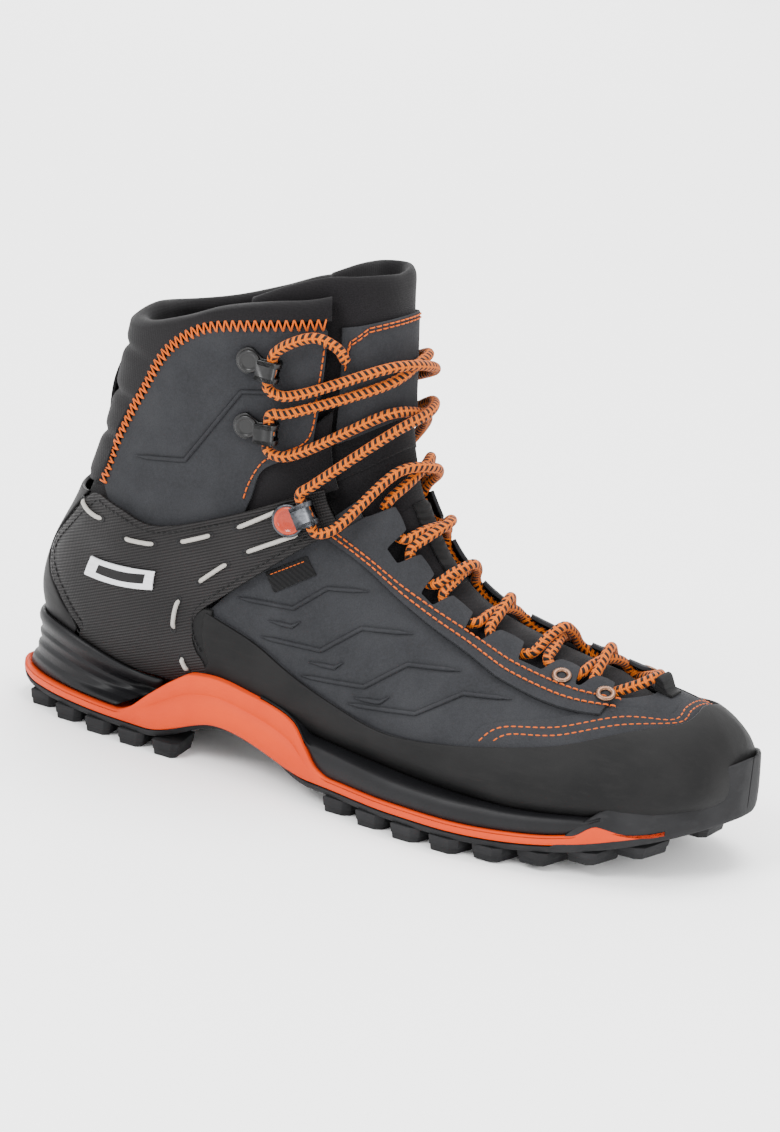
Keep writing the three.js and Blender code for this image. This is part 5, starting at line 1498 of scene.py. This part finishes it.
BAR = [(3.9, 0.95, 4.8), (3.85, 1, 5.2)]
lower_path = (as_path(half_lace(OVER)[::-1], SIDES["lateral"]) + as_path(BAR, SIDES["lateral"])
              + as_path(BAR[:1], SIDES["medial"]) + as_path(half_lace(UNDER), SIDES["medial"]))


def upper_path(height, start):
    far = {"lateral": "medial", "medial": "lateral"}[start]

    def spot(u, f, h, side):
        return on_last(SIDES[side](np.array([u, f * PI])), h)

    def through(name, side):
        front = FITTINGS[name].front
        turn = 1 if side == "lateral" else -1
        mid, out, inside = FITTINGS[name].width / 2 + 2.8, FITTINGS[name].width / 2 + 4.4, HOOK_RISE / 2
        spots = [(front + 6, -out, 3.2), (front, -mid, inside), (front, 0, inside), (front, mid, inside),
                 (front + 6, out, 3.2)]
        return [placed((x, y * turn, z), fitting_frame(name, SIDES[side])) for x, y, z in spots]
    return ([spot(9.93, 0.835, 0.3, start), spot(10.1, 0.865, 2.2, start),
             spot(10.3, 0.93, height * 0.6 + 1, start), spot(10.6, 1, height, start),
             spot(10.9, 0.9, height * 0.6 + 2, far)] + through("lock", far)
            + [spot(12.3, 0.9, height * 0.5 + 2.5, far), spot(12.6, 1, height, start),
               spot(12.95, 0.9, height * 0.5 + 2.5, start)]
            + through("hook_2", start)
            + [spot(14.35, 0.9, height * 0.5 + 2.5, start), spot(14.75, 1, height, start),
               spot(15.1, 0.9, height * 0.5 + 2.5, far)]
            + through("hook_1", far)[:4]
            + [spot(17.05, 0.7, 6.2, far), spot(16.4, 0.755, 4.6, far), spot(15.8, 0.775, 3, far)])


def braided(name, path, node, rides=True):
    """A round cord whose skin bulges with its strands; 'braid' carries the angle and the run along it."""
    length = float(run_along(spline(path, 400))[-1])
    rows, facets = int(length / RING_PITCH), 20
    centre = spline(path, rows)
    _, x, y = frames(centre)
    a = np.arange(facets) * 2 * PI / facets
    run = np.linspace(0, length, rows)
    lean = np.abs(((a / PI + 1) % 2) - 1)
    strand = np.abs(((run[:, None] + lean * BRAID_LEAN) / BRAID_STRAND % 1) - 0.5) * 2
    radius = LACE_DIAMETER / 2 * (0.88 + 0.06 * strand)
    ring = np.cos(a)[None, :, None] * x[:, None] + np.sin(a)[None, :, None] * y[:, None]
    points = (centre[:, None] + ring * radius[..., None]).reshape(-1, 3)
    mesh = bpy.data.meshes.new(name)
    mesh.from_pydata(metres(points).tolist(), [], capped(rows, facets))
    braid = mesh.attributes.new("braid", "FLOAT_VECTOR", "POINT")
    data = np.stack([np.broadcast_to(np.cos(a), (rows, facets)), np.broadcast_to(np.sin(a), (rows, facets)),
                     np.broadcast_to(run[:, None], (rows, facets))], -1)
    braid.data.foreach_set("vector", np.ascontiguousarray(data, dtype=np.float32).ravel())
    mesh.materials.append(lace_braid)
    mesh.shade_smooth()
    obj = bpy.data.objects.new(name, mesh)
    bpy.context.scene.collection.objects.link(obj)
    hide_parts(node)
    if rides:
        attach(obj, "foot")
    else:
        across_flex(obj)
    return obj


braided("lace_lower", lower_path, "lace")
braided("lace_run_lateral", upper_path(OVER, "medial"), "lace_end_lateral", rides=False)
braided("lace_run_medial", upper_path(UNDER, "lateral"), "lace_end_medial", rides=False)

# ---------------------------------------- inside: the footbed and the stiff layers
FOOTBED_GRAIN = 0.0011


def make_footbed():
    """The cloth-covered foam insole, with its rim and surface eased."""
    footbed = bpy.data.objects.new("footbed_pad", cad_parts["footbed"].data.copy())
    bpy.context.scene.collection.objects.link(footbed)
    footbed.data.materials.clear()
    footbed.data.materials.append(mesh_lining)
    rim = footbed.modifiers.new("rounded rim", "REMESH")
    rim.mode, rim.voxel_size = "VOXEL", FOOTBED_GRAIN
    rim.use_smooth_shade = True
    ease = footbed.modifiers.new("soft surface", "SMOOTH")
    ease.factor, ease.iterations = 0.5, 3
    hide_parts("footbed")
    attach(footbed, "foot")


make_footbed()
for node, finish in (("lasting_board", webbing), ("heel_counter", softshell),
                     ("toe_puff", mesh_lining), ("shank", gunmetal)):
    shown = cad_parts[node]
    shown.data.materials.clear()
    shown.data.materials.append(finish)
